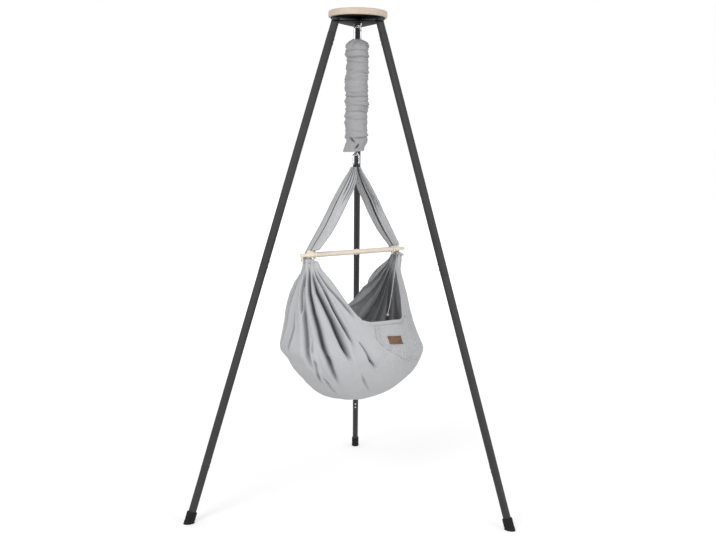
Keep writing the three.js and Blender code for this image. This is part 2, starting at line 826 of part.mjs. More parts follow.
function springPath() {
  const points = [];
  const bow = hookParts.bottom;
  const quarter = Math.PI / 2;
  const around = (radius, angle, height) =>
    points.push(new THREE.Vector3(radius * Math.cos(angle), radius * Math.sin(angle), height));
  const ringSteps = springCurlSteps + 1;
  for (let i = 0; i <= ringSteps; i++) {
    const angle = THREE.MathUtils.lerp(radians(springRingStartDeg), Math.PI, i / ringSteps);
    const across = springTopRing * Math.cos(angle);
    points.push(new THREE.Vector3(0, across, bow + springTopRing * Math.sin(angle)));
  }
  const leadSteps = springCurlSteps / 2;
  for (let i = 1; i < leadSteps; i++) {
    const share = i / leadSteps;
    const radius = THREE.MathUtils.lerp(springTopRing, springRadius, 1 - Math.cos(share * quarter));
    around(radius, -quarter * (1 - share), THREE.MathUtils.lerp(bow, springTopHeight, Math.sin(share * quarter)));
  }
  const coilSteps = springCurlSteps * springTurns;
  for (let i = 0; i <= coilSteps; i++) {
    const height = THREE.MathUtils.lerp(springTopHeight, springBottomHeight, i / coilSteps);
    around(springRadius, (i / springCurlSteps) * Math.PI * 2, height);
  }
  for (let i = 1; i < springCurlSteps - 1; i++) {
    const share = i / (springCurlSteps - 1);
    const radius = THREE.MathUtils.lerp(springBottomRing, springRadius, Math.cos(share * quarter));
    const height = THREE.MathUtils.lerp(springBottomHeight, swivelEyeHeight, 1 - Math.cos(share * quarter));
    around(radius, Math.PI * share, height);
  }
  for (let i = 0; i <= ringSteps; i++) {
    const angle = Math.PI + THREE.MathUtils.lerp(0, radians(springRingTurnDeg), i / ringSteps);
    const along = springBottomRing * Math.cos(angle);
    points.push(new THREE.Vector3(along, 0, swivelEyeHeight + springBottomRing * Math.sin(angle)));
  }
  return points;
}

// A ring of points round each point of a path, turned as little as possible from one to the next
function tubeThrough(points, radius, sides) {
  const side = new THREE.Vector3();
  const rings = points.map((point, i) => {
    const before = points[Math.max(i - 1, 0)];
    const after = points[Math.min(i + 1, points.length - 1)];
    const ahead = after.clone().sub(before).normalize();
    if (i === 0) side.set(1, 0, 0);
    side.addScaledVector(ahead, -side.dot(ahead)).normalize();
    const other = ahead.clone().cross(side);
    return roundShape(radius, sides)
      .getPoints()
      .slice(0, sides)
      .map(({ x, y }) => point.clone().addScaledVector(side, x).addScaledVector(other, y));
  });
  return loft(rings);
}

const springPoints = springPath();

function leastGap(points) {
  let least = Infinity;
  points.forEach((point, i) => {
    points.slice(i + springCurlSteps - 2).forEach((other) => {
      least = Math.min(least, point.distanceTo(other) - 2 * springWireRadius);
    });
  });
  return least;
}

console.log(`least gap between the spring's curls: ${leastGap(springPoints).toFixed(1)} mm`);

// Sleeve: cloth gathered round the spring, with a neck that lets the carabiner in
const sleeveTopHeight = hookParts.bottom + sleeveTopRise;
const sleeveBottomHeight = sleeveTopHeight - sleeveLength;

function sleeveShape() {
  const shoulder = sleeveTopHeight - sleeveNeckDepth;
  const ringAt = (z, sizeAt) =>
    Array.from({ length: sleeveSides }, (_, i) => {
      const angle = (i / sleeveSides) * Math.PI * 2;
      const { along, across } = sizeAt(angle);
      return new THREE.Vector3(along * Math.cos(angle), across * Math.sin(angle), z);
    });
  const outerSize = (z) => (angle) => {
    const neck = THREE.MathUtils.smoothstep(z, shoulder - sleeveBulgeHeight, shoulder);
    const hem = 1 - THREE.MathUtils.smoothstep(z, sleeveBottomHeight, sleeveBottomHeight + sleeveHemDepth);
    const phase = (z / sleeveFoldPitch) * Math.PI * 2;
    const wander = sleeveFoldWander * (Math.sin(angle) + Math.cos(2 * angle));
    const folds = sleeveFoldDepth * Math.sin(phase + wander) * (1 - hem);
    const ruffle = sleeveHemFlare * hem * (1 + Math.cos(sleeveHemFolds * angle));
    const radius = sleeveRadius + folds + ruffle;
    return {
      along: THREE.MathUtils.lerp(radius, sleeveNeck.along, neck),
      across: THREE.MathUtils.lerp(radius, sleeveNeck.across, neck),
    };
  };
  const outer = Array.from({ length: sleeveRings }, (_, i) => {
    const z = sleeveTopHeight - (sleeveLength * i) / (sleeveRings - 1);
    return ringAt(z, outerSize(z));
  });
  const skirt = (angle) => {
    const { along, across } = outerSize(sleeveBottomHeight)(angle);
    return { along: along - sleeveWall, across: across - sleeveWall };
  };
  const bore = () => ({ along: sleeveBore, across: sleeveBore });
  const seatLow = springTopHeight - sleeveSeat.below;
  const seatRadius = (springRadius + springWireRadius + restGap) / Math.cos(Math.PI / sleeveSides);
  const seat = () => ({ along: seatRadius, across: seatRadius });
  const throat = () => ({ along: sleeveNeck.along - sleeveWall, across: sleeveNeck.across - sleeveWall });
  const inner = [
    ringAt(sleeveBottomHeight, skirt),
    ringAt(sleeveBottomHeight + sleeveHemDepth, bore),
    ...Array.from({ length: sleeveInnerRings }, (_, i) => {
      const from = sleeveBottomHeight + 2 * sleeveHemDepth;
      const to = seatLow - sleeveSeat.slope;
      return ringAt(THREE.MathUtils.lerp(from, to, i / (sleeveInnerRings - 1)), bore);
    }),
    ringAt(seatLow, seat),
    ringAt(springTopHeight + sleeveSeat.above, seat),
    ringAt(shoulder, throat),
    ringAt(sleeveTopHeight, throat),
  ];
  return loft([...outer, ...inner], true);
}

hanging.add(
  part('spring', tubeThrough(springPoints, springWireRadius, springSides), springSteel),
  part('spring_sleeve', sleeveShape(), greyCloth),
);

// Swivel: an eye and a hollow barrel, and a stem with its own eye that turns in it
const eyeRing = (radius, wireRadius, height) =>
  at(new THREE.TorusGeometry(radius, wireRadius, wireSides, tubeSides).rotateY(Math.PI / 2), 0, 0, height);
const upperEyeHeight = swivelEyeHeight - swivelRingRadius;
const barrelTop = upperEyeHeight - swivelRingRadius;
const barrelBottom = barrelTop - barrelHeight;
const barrelFloor = barrelBottom + barrelCavity.floor;
const lowerEyeHeight = barrelBottom - restGap - stemDrop - lowerEyeRadius - lowerEyeWireRadius;
const rockHeight = lowerEyeHeight - lowerEyeRadius;

const swivelUpperShape = cutBy(
  joined(
    eyeRing(swivelRingRadius, swivelWireRadius, upperEyeHeight),
    rod('z', barrelRadius, barrelBottom, barrelTop, tubeSides),
  ),
  rod('z', barrelCavity.radius, barrelFloor, barrelFloor + barrelCavity.height, tubeSides),
  rod('z', stemRadius + stemClearance, barrelBottom - cutOverrun, barrelFloor + stemClearance, tubeSides),
);
const stemTop = barrelFloor + restGap;
const swivelLowerShape = joined(
  eyeRing(lowerEyeRadius, lowerEyeWireRadius, lowerEyeHeight),
  rod('z', stemRadius, lowerEyeHeight + lowerEyeRadius, stemTop + stemHead.height / 2, tubeSides),
  rod('z', stemHead.radius, stemTop, stemTop + stemHead.height, tubeSides),
);
hanging.add(
  part('swivel_upper', swivelUpperShape, zinc),
  part('swivel_lower', swivelLowerShape, zinc),
);

// Lower carabiner and the two webbing loops on it
const linkTop = rockHeight + lowerEyeWireRadius + link.wire + hangGap;
const linkParts = carabinerParts(link, linkTop);
hanging.add(part('link_body', linkParts.body, zinc), part('link_gate', linkParts.gate, zinc));

function webbingRing(grow) {
  const inner = webbingBowRadius - grow;
  const outer = webbingBowRadius + webbingThickness + grow;
  const top = linkParts.bottom + webbingBowRise;
  const bottom = linkParts.bottom - webbingDrop + webbingBowRadius + webbingThickness;
  const stadium = (radius) => {
    const points = [];
    for (let i = 0; i <= wireSides; i++) {
      const angle = (i / wireSides) * Math.PI;
      points.push(new THREE.Vector2(radius * Math.cos(angle), top + radius * Math.sin(angle)));
    }
    for (let i = 0; i <= wireSides; i++) {
      const angle = Math.PI + (i / wireSides) * Math.PI;
      points.push(new THREE.Vector2(radius * Math.cos(angle), bottom + radius * Math.sin(angle)));
    }
    return points;
  };
  const outline = new THREE.Shape(stadium(outer));
  outline.holes.push(new THREE.Path(stadium(inner)));
  const depth = 2 * (webbingHalfWidth + grow);
  const band = new THREE.ExtrudeGeometry(outline, { depth, bevelEnabled: false });
  // The outline's X becomes Y, its Y becomes Z, and its depth becomes X
  band.translate(0, 0, -depth / 2).applyMatrix4(
    new THREE.Matrix4().makeBasis(new THREE.Vector3(0, 1, 0), new THREE.Vector3(0, 0, 1), new THREE.Vector3(1, 0, 0)),
  );
  return at(band, webbingOffset, 0, 0);
}

// Wing: the cloth gathered from a loop down to the bar, which lies in a groove on its front
const wingTopHeight = linkParts.bottom - wingTopDrop;
const barHeight = linkParts.bottom - barDrop;
const wingBottomHeight = barHeight - wingBelowBar;
const wingDrop = wingTopHeight - wingBottomHeight;
const wingBottomOffset = barLength / 2 - wingBottomInset;
const tieOffset = barLength / 2 - tieInset;
const tieRadius = barRadius + tieWireRadius + tieGap;

function wingShape() {
  const rings = wingShares.map(([drop, offset, depth, width]) =>
    Array.from({ length: wingSides }, (_, i) => {
      const angle = (i / wingSides) * Math.PI * 2;
      const pleat = 1 + wingPleatShare * Math.cos(wingPleats * angle + wingPleatTwist * Math.sin(drop * Math.PI));
      const x = offset * wingBottomOffset + depth * wingDepth * pleat * Math.cos(angle);
      const y = width * wingWidth * pleat * Math.sin(angle);
      return new THREE.Vector3(Math.max(x, wingGap), y, wingTopHeight - drop * wingDrop);
    }),
  );
  const groove = barRadius + barGap;
  const notch = joined(
    rod('x', groove / Math.cos(Math.PI / tubeSides), 0, barLength, tubeSides),
    block([0, -barLength, -groove], [barLength, 0, groove]),
    block([0, -barLength, 0], [barLength, cleat.thickness / 2 + barGap, barRadius + cleat.height + barGap]),
  );
  const tieReach = tieRadius + tieWireRadius + tieCutGap;
  const tieCut = rod('x', tieReach, tieOffset - tieWireRadius - tieCutGap, tieOffset + tieWireRadius + tieCutGap);
  return cutBy(loft(rings), webbingRing(webbingSlotGap), at(notch, 0, 0, barHeight), at(tieCut, 0, 0, barHeight));
}

const otherEnd = (geometry) => geometry.clone().rotateZ(Math.PI);
const webbing = webbingRing(0);
const wing = wingShape();
hanging.add(
  part('webbing_loop_right', webbing, blackWebbing),
  part('webbing_loop_left', otherEnd(webbing), blackWebbing),
  part('wing_right', wing, greyCloth),
  part('wing_left', otherEnd(wing), greyCloth),
);

// Bar with its two thinner tips and a cleat near each
const barHalf = barLength / 2;
const barShape = turned(
  [
    [0, -barHalf],
    [barTipRadius - barEdge, -barHalf],
    [barTipRadius, -barHalf + barEdge],
    [barTipRadius, -barHalf + barTipLength],
    [barRadius - barEdge, -barHalf + barTipLength],
    [barRadius, -barHalf + barTipLength + barEdge],
    [barRadius, barHalf - barTipLength - barEdge],
    [barRadius - barEdge, barHalf - barTipLength],
    [barTipRadius, barHalf - barTipLength],
    [barTipRadius, barHalf - barEdge],
    [barTipRadius - barEdge, barHalf],
    [0, barHalf],
  ],
  tubeSides,
).rotateY(Math.PI / 2);

function cleatShape(side) {
  const half = cleat.length / 2;
  const top = half * (1 - cleat.slopeShare);
  const low = barRadius - cleatSink;
  const high = barRadius + cleat.height;
  const outline = new THREE.Shape([
    new THREE.Vector2(-half, low),
    new THREE.Vector2(half, low),
    new THREE.Vector2(half, (low + high) / 2),
    new THREE.Vector2(top, high),
    new THREE.Vector2(-top, high),
    new THREE.Vector2(-half, (low + high) / 2),
  ]);
  const eye = roundShape(cleatHoleRadius, wireSides).getPoints();
  const eyeHeight = barRadius + cleat.height / 2;
  outline.holes.push(new THREE.Path(eye.map(({ x, y }) => new THREE.Vector2(x, y + eyeHeight))));
  const plate = new THREE.ExtrudeGeometry(outline, { depth: cleat.thickness, bevelEnabled: false });
  plate.rotateX(Math.PI / 2);
  return at(plate, side * (barHalf - cleat.inset), cleat.thickness / 2, 0);
}

const barWithCleats = joined(barShape, cleatShape(-1), cleatShape(1));
hanging.add(part('spreader_bar', at(barWithCleats, 0, 0, barHeight), beech));

// Cord ties: a ring round the bar with a knot under it
const tieShape = joined(
  new THREE.TorusGeometry(tieRadius, tieWireRadius, tieSides, smallSides).rotateY(Math.PI / 2),
  at(new THREE.SphereGeometry(tieKnotRadius, wireSides, knotRows), 0, 0, tieWireRadius - tieKnotRadius - tieRadius),
);
const tie = at(tieShape, tieOffset, 0, barHeight);
hanging.add(part('bar_tie_right', tie, whiteCord), part('bar_tie_left', otherEnd(tie), whiteCord));

// Bag: a boat of cloth whose hem rises to the bar at both ends
const bagTop = wingBottomHeight - restGap;
const bagBottomHeight = bagTop - bagDepth;
const bagHalfLength = wingBottomOffset * bagSwellShare;

// A row of shares at a place between the rows of a table
function rowAt(table, place) {
  const next = Math.max(1, table.findIndex(([start]) => start >= place));
  const [low, high] = [table[next - 1], table[next]];
  const share = (place - low[0]) / (high[0] - low[0]);
  return low.map((value, i) => THREE.MathUtils.lerp(value, high[i], share));
}

function bagSize(height, angle) {
  const drop = THREE.MathUtils.clamp((bagTop - height) / bagDepth, 0, 1);
  const [, long, wide] = rowAt(bagShares, drop);
  const end = Math.cos(angle) ** 2;
  const spread = Math.sin(drop * Math.PI) ** 0.5;
  const gathers = endFoldDepth * end * (1 - drop) * Math.cos(endFolds * angle);
  const belly = bellyFoldDepth * (1 - end) * Math.sin(bellyFolds * angle + bellyFoldTwist * drop + bellyFoldPhase);
  const fold = (gathers + belly) * spread;
  return [long * bagHalfLength + fold, wide * bagHalfWidth + fold];
}

// A point on the bag's outer face, moved outwards by a distance
function bagPoint(angle, height, outwards = 0) {
  const step = bagDepth * slopeStepShare;
  const [long, wide] = bagSize(height, angle);
  const above = bagSize(Math.min(height + step, bagTop), angle);
  const below = bagSize(Math.max(height - step, bagBottomHeight), angle);
  const rise = Math.min(height + step, bagTop) - Math.max(height - step, bagBottomHeight);
  const end = Math.cos(angle) ** 2;
  const slope = ((above[0] - below[0]) * end + (above[1] - below[1]) * (1 - end)) / rise;
  const flat = new THREE.Vector2(Math.cos(angle) / long, Math.sin(angle) / wide).normalize();
  const scale = outwards / Math.hypot(1, slope);
  return new THREE.Vector3(
    long * Math.cos(angle) + flat.x * scale,
    wide * Math.sin(angle) + flat.y * scale,
    height - slope * scale,
  );
}

function hemHeight(angle) {
  const turn = THREE.MathUtils.euclideanModulo(angle, Math.PI * 2) / Math.PI;
  if (turn > 1) return bagTop - hemDrop * Math.sin(Math.PI * (turn - 1) ** hemLeanShare) ** frontHemShare;
  return bagTop - hemDrop * Math.sin(Math.PI * turn) ** backHemShare;
}

const bagAngles = Array.from({ length: bagSides }, (_, i) => (i / bagSides) * Math.PI * 2);
const lowerHeights = bagLowerShares.map((share) => bagTop - share * bagDepth);
const bagFace = (outwards) => [
  ...bagUpperShares.map((share) =>
    bagAngles.map((angle) =>
      bagPoint(angle, THREE.MathUtils.lerp(hemHeight(angle), lowerHeights[0], share), outwards),
    ),
  ),
  ...lowerHeights.map((height) => bagAngles.map((angle) => bagPoint(angle, height, outwards))),
];
const bagShape = loft([...bagFace(-bagWall).reverse(), ...bagFace(0)]);
hanging.add(part('bag', bagShape, greyCloth));

// Patch and label on the bag's front
function onBag(columns, rows, placeAt, low, thickness) {
  const grid = (outwards) =>
    Array.from({ length: rows + 1 }, (_, i) =>
      Array.from({ length: columns + 1 }, (_, j) => {
        const [angle, height] = placeAt(j / columns, i / rows);
        return bagPoint(angle, height, outwards);
      }),
    );
  return sheet(grid(low + thickness), grid(low));
}

const pocketPlace = (along, down) => {
  const angle = radians(THREE.MathUtils.lerp(...pocketSpanDeg, along));
  const bottom = bagBottomHeight + pocketBottomRise + pocketCornerRise * (1 - along) ** pocketCornerShare;
  return [angle, THREE.MathUtils.lerp(hemHeight(angle) - pocketHemInset, bottom, down)];
};
const labelPlace = (along, down) => {
  const perDegree = radians(1) * bagHalfLength;
  const shear = labelShearDeg * (down - 1 / 2);
  const angle = labelMiddleDeg + ((along - 1 / 2) * labelWidth) / perDegree + shear;
  return [radians(angle), bagBottomHeight + labelMiddleRise + labelHeight * (1 / 2 - down)];
};
const labelRise = clothGap + pocketThickness + labelGap;
hanging.add(
  part('pocket', onBag(...pocketGrid, pocketPlace, clothGap, pocketThickness), greyCloth),
  part('label', onBag(...labelGrid, labelPlace, labelRise, labelThickness), brownLeather),
);

// Mattress: it lies on the bag's bottom and its top dishes down from the edge
function mattressShape() {
  const heights = lowerHeights.slice(mattressEdgeRing).reverse();
  const under = heights.map((height) =>
    bagAngles.map((angle) => bagPoint(angle, height, -bagWall - mattressGap)),
  );
  const edge = under[under.length - 1];
  const top = mattressTopShares.map((share) =>
    edge.map((point) => {
      const sink = mattressDish * (1 - share ** 2);
      const round = mattressEdgeRise * Math.sin(share * Math.PI);
      return new THREE.Vector3(point.x * share, point.y * share, point.z - sink + round);
    }),
  );
  return loft([...under, ...top]);
}

hanging.add(part('mattress', mattressShape(), innerCloth));

// Cords
function cord(name, route) {
  const points = route.map((point) => new THREE.Vector3(...point));
  const length = new THREE.CatmullRomCurve3(points, false, 'centripetal').getLength();
  const steps = Math.round(length / (cordStepShare * cordRadius));
  console.log(`${name} length ${length.toFixed(0)} mm`);
  return part(name, wire(points, cordRadius, steps, cordSides), whiteCord);
}

hanging.add(cord('drawstring', drawstringRoute));
tailRoutes.forEach((route, i) => hanging.add(cord(`cord_tail_${i + 1}`, route)));

const beadHalf = beadRadius - beadFlat;
const beadProfile = [[0, -beadHalf]];
for (let i = 0; i <= beadRows; i++) {
  const height = THREE.MathUtils.lerp(-beadHalf, beadHalf, i / beadRows);
  beadProfile.push([Math.sqrt(beadRadius ** 2 - height ** 2), height]);
}
beadProfile.push([0, beadHalf]);
const [beadX, beadY, cordEnd] = drawstringRoute[drawstringRoute.length - 1];
hanging.add(part('bead', at(turned(beadProfile, smallSides), beadX, beadY, cordEnd - beadGap - beadHalf), beech));

// The origin is the middle of the footprint, on the floor
const box = new THREE.Box3().setFromObject(group, true);
const middle = box.getCenter(new THREE.Vector3());
group.position.set(-middle.x, -middle.y, -box.min.z);
console.log(`stand's axis at ${(-middle.x).toFixed(2)}, ${(-middle.y).toFixed(2)} mm`);
console.log(`upper hinge ${eyeBottomHeight}, sleeve hinge ${hookParts.bottom.toFixed(1)}, rock ${rockHeight.toFixed(1)} mm`);
console.log(`gate pivots ${hookParts.pivot.join(' ')} and ${linkParts.pivot.join(' ')}`);

export default group;
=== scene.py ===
import math

import bmesh
import bpy
import numpy as np
from mathutils import Matrix, Vector


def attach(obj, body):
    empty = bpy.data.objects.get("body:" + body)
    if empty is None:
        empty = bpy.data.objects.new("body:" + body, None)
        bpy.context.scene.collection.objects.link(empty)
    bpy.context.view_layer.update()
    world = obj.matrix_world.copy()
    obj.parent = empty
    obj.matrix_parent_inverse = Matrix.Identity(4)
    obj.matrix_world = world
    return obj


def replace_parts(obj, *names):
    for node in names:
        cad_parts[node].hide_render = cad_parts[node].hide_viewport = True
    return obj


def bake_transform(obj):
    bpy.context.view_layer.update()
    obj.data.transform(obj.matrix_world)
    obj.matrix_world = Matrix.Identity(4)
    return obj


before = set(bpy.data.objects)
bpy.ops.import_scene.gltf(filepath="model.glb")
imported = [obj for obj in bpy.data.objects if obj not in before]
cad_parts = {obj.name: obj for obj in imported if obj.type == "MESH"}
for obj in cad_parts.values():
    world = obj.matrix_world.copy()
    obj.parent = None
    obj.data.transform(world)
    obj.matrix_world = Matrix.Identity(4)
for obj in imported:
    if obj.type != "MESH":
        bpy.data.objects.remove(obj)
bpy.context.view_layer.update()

scene = bpy.context.scene

# Camera. It stands at a child's height in front of the stand, 3.8 m from the
# axis that the cradle hangs on, and looks a little down.
standAxis = Vector((0, -0.17238, 0))
cameraDistance = 3.8
cameraHeight = 1.3519
cameraSide = 0.01392
cameraPitch = 0.11556
cameraRoll = -0.0140
cameraTurn = math.radians(1.03)
camera = bpy.data.objects.new("camera", bpy.data.cameras.new("camera"))
scene.collection.objects.link(camera)
camera.data.sensor_width = 36
camera.data.sensor_fit = "HORIZONTAL"
camera.data.lens = 49.11
level = Matrix.Rotation(math.pi / 2 - cameraPitch, 4, "X") @ Matrix.Rotation(-cameraRoll, 4, "Z")
stance = Matrix.Translation((cameraSide, -cameraDistance, cameraHeight))
camera.matrix_world = (
    Matrix.Translation(standAxis) @ Matrix.Rotation(cameraTurn, 4, "Z") @ stance @ level
)
scene.camera = camera
scene.view_settings.view_transform = "Standard"


# Wooden disc on top of the stand. It is turned from pale beech, its rim is
# rounded by hand, and it lies on the steel hub.
def linear(red, green, blue):
    """A colour as it is seen on a screen, in the shader's own units."""
    return tuple((value / 255) ** 2.2 for value in (red, green, blue)) + (1.0,)


class Value:
    """One output of a finish's node. Reckoning with it adds the nodes that do so."""

    def __init__(self, finish, socket):
        self.finish, self.socket = finish, socket

    def reckon(self, operation, *others):
        return self.finish.node("Math", {"operation": operation}, self, *others)

    def __add__(self, other):
        return self.reckon("ADD", other)

    def __sub__(self, other):
        return self.reckon("SUBTRACT", other)

    def __mul__(self, other):
        return self.reckon("MULTIPLY", other)

    __radd__, __rmul__ = __add__, __mul__

    def above(self, low, high):
        """0 below one value, 1 above the other and smooth between them."""
        settings = {"interpolation_type": "SMOOTHSTEP"}
        return self.finish.node("MapRange", settings, self, low, high, 0.0, 1.0)


class Finish:
    """A procedural material: its nodes are added by node(), and sockets are set by name."""

    def __init__(self, name, **fixed):
        self.material = bpy.data.materials.new(name)
        self.material.use_nodes = True
        self.tree = self.material.node_tree
        self.shader = self.tree.nodes["Principled BSDF"]
        for socket, value in fixed.items():
            self.shader.inputs[socket.replace("_", " ")].default_value = value

    def node(self, kind, settings=None, *values, output=None, **named):
        """Adds a node. Values fill its sockets in order or by name, and may be other nodes'."""
        node = self.tree.nodes.new("ShaderNode" + kind)
        for setting, value in (settings or {}).items():
            setattr(node, setting, value)
        sockets = [s for s in node.inputs if s.enabled]
        links = list(zip(sockets, values)) + [
            (node.inputs[socket.replace("_", " ")], value) for socket, value in named.items()
        ]
        for socket, value in links:
            if isinstance(value, Value):
                self.tree.links.new(value.socket, socket)
            elif value is not None:
                socket.default_value = value
        shown = [s for s in node.outputs if s.enabled]
        return Value(self, node.outputs[output] if output else shown[0])

    def mix(self, share, first, second):
        return self.node("Mix", {"data_type": "RGBA"}, share, first, second)

    def noise(self, place, scale, detail=3.0, roughness=0.5, distortion=0.0):
        return self.node(
            "TexNoise", None, Vector=place, Scale=scale, Detail=detail,
            Roughness=roughness, Distortion=distortion,
        )

    def place(self, scale=(1, 1, 1), turn=(0, 0, 0), source="Object"):
        """Where a spot of the surface lies on the piece, or on its flat cloth with UV."""
        spot = self.node("TexCoord", None, output=source)
        return self.node("Mapping", None, spot, Rotation=turn, Scale=scale)

    def set(self, **sockets):
        for socket, value in sockets.items():
            self.tree.links.new(value.socket, self.shader.inputs[socket.replace("_", " ")])
        return self

    def relief(self, height, distance, strength=1.0, under=None):
        return self.node(
            "Bump", None, Strength=strength, Distance=distance, Height=height, Normal=under
        )


def beech_finish(name, turn, tones):
    """Beech whose grain runs along X after the turn, from its wood to its flecks."""
    pale, deep, line, fleck = (linear(*tone) for tone in tones)
    finish = Finish(name, IOR=1.45)
    grain = finish.place((1, 9, 9), (0, 0, turn))
    broad = finish.noise(grain, 7.0, 4.0, 0.55, 0.6)
    lines = finish.noise(finish.place((3, 60, 60), (0, 0, turn)), 6.0, 5.0, 0.6, 0.3)
    flecks = finish.noise(finish.place((22, 260, 260), (0, 0, turn)), 8.0, 1.0).above(0.62, 0.72)
    wood = finish.mix(broad.above(0.3, 0.7), pale, deep)
    lined = finish.mix(lines.above(0.35, 0.75) * 0.4, wood, line)
    colour = finish.mix(flecks * 0.35, lined, fleck)
    finish.set(Base_Color=colour, Roughness=0.46 + 0.16 * lines)
    return finish.set(Normal=finish.relief(lines - flecks * 0.6, 0.0002, 0.5))


def spun(bm, profile, steps, closed=False):
    """Spins a profile of radii and heights round Z."""
    points = [bm.verts.new((radius, 0, height)) for radius, height in profile]
    pairs = list(zip(points, points[1:])) + ([(points[-1], points[0])] if closed else [])
    edges = [bm.edges.new(pair) for pair in pairs]
    bmesh.ops.spin(
        bm, geom=points + edges, cent=(0, 0, 0), axis=(0, 0, 1), dvec=(0, 0, 0),
        angle=2 * math.pi, steps=steps, use_merge=True, use_duplicate=False,
    )
    bmesh.ops.remove_doubles(bm, verts=bm.verts, dist=1e-6)
    bmesh.ops.dissolve_degenerate(bm, edges=bm.edges, dist=1e-7)


def soften(bm, width, segments=2, sharpest=0.6):
    """Rounds every edge between two faces that meet at more than an angle."""
    sharp = [e for e in bm.edges if len(e.link_faces) == 2 and e.calc_face_angle() > sharpest]
    bmesh.ops.bevel(
        bm, geom=sharp, offset=width, offset_type="OFFSET", affect="EDGES",
        segments=segments, profile=0.5, material=-1, clamp_overlap=True,
    )


def as_object(name, bm, finish, sharpest=0.7):
    """Shades a bmesh smooth, but for edges sharper than an angle, and puts it in the scene."""
    mesh = bpy.data.meshes.new(name)
    bm.to_mesh(mesh)
    bm.free()
    mesh.polygons.foreach_set("use_smooth", [True] * len(mesh.polygons))
    mesh.set_sharp_from_angle(angle=sharpest)
    mesh.materials.append(finish.material)
    piece = bpy.data.objects.new(name, mesh)
    scene.collection.objects.link(piece)
    return piece


def as_piece(name, bm, finish, body, slot, *nodes, place=None, sharpest=0.7):
    """Makes a bmesh a piece that rides on a body and stands for its CAD nodes."""
    bmesh.ops.recalc_face_normals(bm, faces=bm.faces)
    if place:
        bmesh.ops.transform(bm, matrix=place, verts=bm.verts)
    piece = as_object(name, bm, finish, sharpest)
    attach(piece, body)
    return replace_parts(piece, *nodes)


standTop = 1.9
discRadius = 0.1125
discThickness = 0.0247
discEdge = 0.0055
onAxis = Matrix.Translation(standAxis)
roundSteps = 96
discGrain = 0.3
discTones = (216, 201, 185), (205, 187, 169), (192, 169, 144), (160, 128, 101)
discBeech = beech_finish("beech of the disc", discGrain, discTones)
disc = bmesh.new()
low, high = standTop - discThickness, standTop
spun(disc, [(0, low), (discRadius, low), (discRadius, high), (0, high)], roundSteps)
soften(disc, discEdge, 5)
as_piece("beech_disc", disc, discBeech, "stand", "beech", "top_disc", place=onAxis)

# Steel hub. A round plate under the disc and a triangular plate below it are
# painted black. Three oval stubs, grey like the legs, are welded on below them.
def painted_finish(name, colour, edge, shine=0.35, dusty=0.05):
    """Powder paint: a fine orange peel, a little dust and paler worn spots."""
    finish = Finish(name, Specular_IOR_Level=shine)
    place = finish.place()
    peel = finish.noise(place, 1400.0, 2.0)
    cloud = finish.noise(place, 14.0, 3.0)
    dust = finish.noise(place, 420.0, 1.0).above(0.6, 0.8)
    base = finish.mix(cloud.above(0.3, 0.75) * 0.6, colour, edge)
    finish.set(Base_Color=finish.mix(dust * dusty, base, linear(150, 150, 150)))
    finish.set(Roughness=0.5 + 0.18 * cloud)
    return finish.set(Normal=finish.relief(peel, 0.00008, 0.6))


hubPlateRadius = 0.104
hubPlateTop = 1.875
hubPlateThickness = 0.003
triangleTop = 1.859
triangleThickness = 0.004
cornerSpread = 0.09
cornerRadius = 0.022
paintedEdge = 0.0006
legAzimuths = {"left": 210, "right": 330, "back": 90}
footSpread = 0.682
topSpread = 0.083
legLean = math.atan((footSpread - topSpread) / standTop)
upperOval = (0.0315, 0.026)
lowerOval = (0.0305, 0.025)
footOval = (0.0295, 0.024)
tubeWall = 0.0016
tubeClearance = 0.00035
stubDepth = 0.110
stubShoulder = 0.0014
shoulderLift = 0.0008
stubShortfall = 0.004
ovalSteps = 48


def up_the_leg(height):
    """How far up the leg's centre line a height is."""
    return height / math.cos(legLean)


def leg_place(side):
    """Z up the leg's centre line and X away from the stand's axis."""
    turn = Matrix.Rotation(math.radians(legAzimuths[side]), 4, "Z")
    foot = Matrix.Translation((footSpread, 0, 0))
    return onAxis @ turn @ foot @ Matrix.Rotation(-legLean, 4, "Y")


def oval(bm, verts, size, whole):
    """Presses the round section of a tube into its oval one."""
    bmesh.ops.scale(bm, vec=(size[0] / whole, size[1] / whole, 1), verts=verts)


upperTop = up_the_leg(1.812)
blackPaint = painted_finish(
    "black paint of the hub", linear(6, 6, 6), linear(11, 11, 11), shine=0.08, dusty=0.03
)
greyPaint = painted_finish("dark grey paint of the legs", linear(51, 51, 52), linear(61, 61, 62))
hub = bmesh.new()
low, high = hubPlateTop - hubPlateThickness, hubPlateTop
spun(hub, [(0, low), (hubPlateRadius, low), (hubPlateRadius, high), (0, high)], roundSteps)
soften(hub, paintedEdge)
triangle = bmesh.new()
for azimuth in legAzimuths.values():
    turn = Matrix.Rotation(math.radians(azimuth), 4, "Z")
    corner = turn @ Matrix.Translation((cornerSpread, 0, triangleTop))
    bmesh.ops.create_circle(
        triangle, cap_ends=False, radius=cornerRadius, segments=ovalSteps, matrix=corner
    )
bmesh.ops.convex_hull(triangle, input=triangle.verts)
bmesh.ops.dissolve_limit(
    triangle, angle_limit=0.01, verts=triangle.verts, edges=triangle.edges
)
plate = bmesh.ops.extrude_face_region(triangle, geom=triangle.faces[:])
drawn = [v for v in plate["geom"] if isinstance(v, bmesh.types.BMVert)]
bmesh.ops.translate(triangle, vec=(0, 0, -triangleThickness), verts=drawn)
bmesh.ops.recalc_face_normals(triangle, faces=triangle.faces)
soften(triangle, paintedEdge)
spare = bpy.data.meshes.new("triangle")
triangle.to_mesh(spare)
triangle.free()
hub.from_mesh(spare)
bpy.data.meshes.remove(spare)
bmesh.ops.transform(hub, matrix=onAxis, verts=hub.verts)
as_piece("steel_hub", hub, blackPaint, "stand", "hub_steel", "hub")
spigot = tuple(size - 2 * (tubeWall + tubeClearance) for size in upperOval)
stubs = bmesh.new()
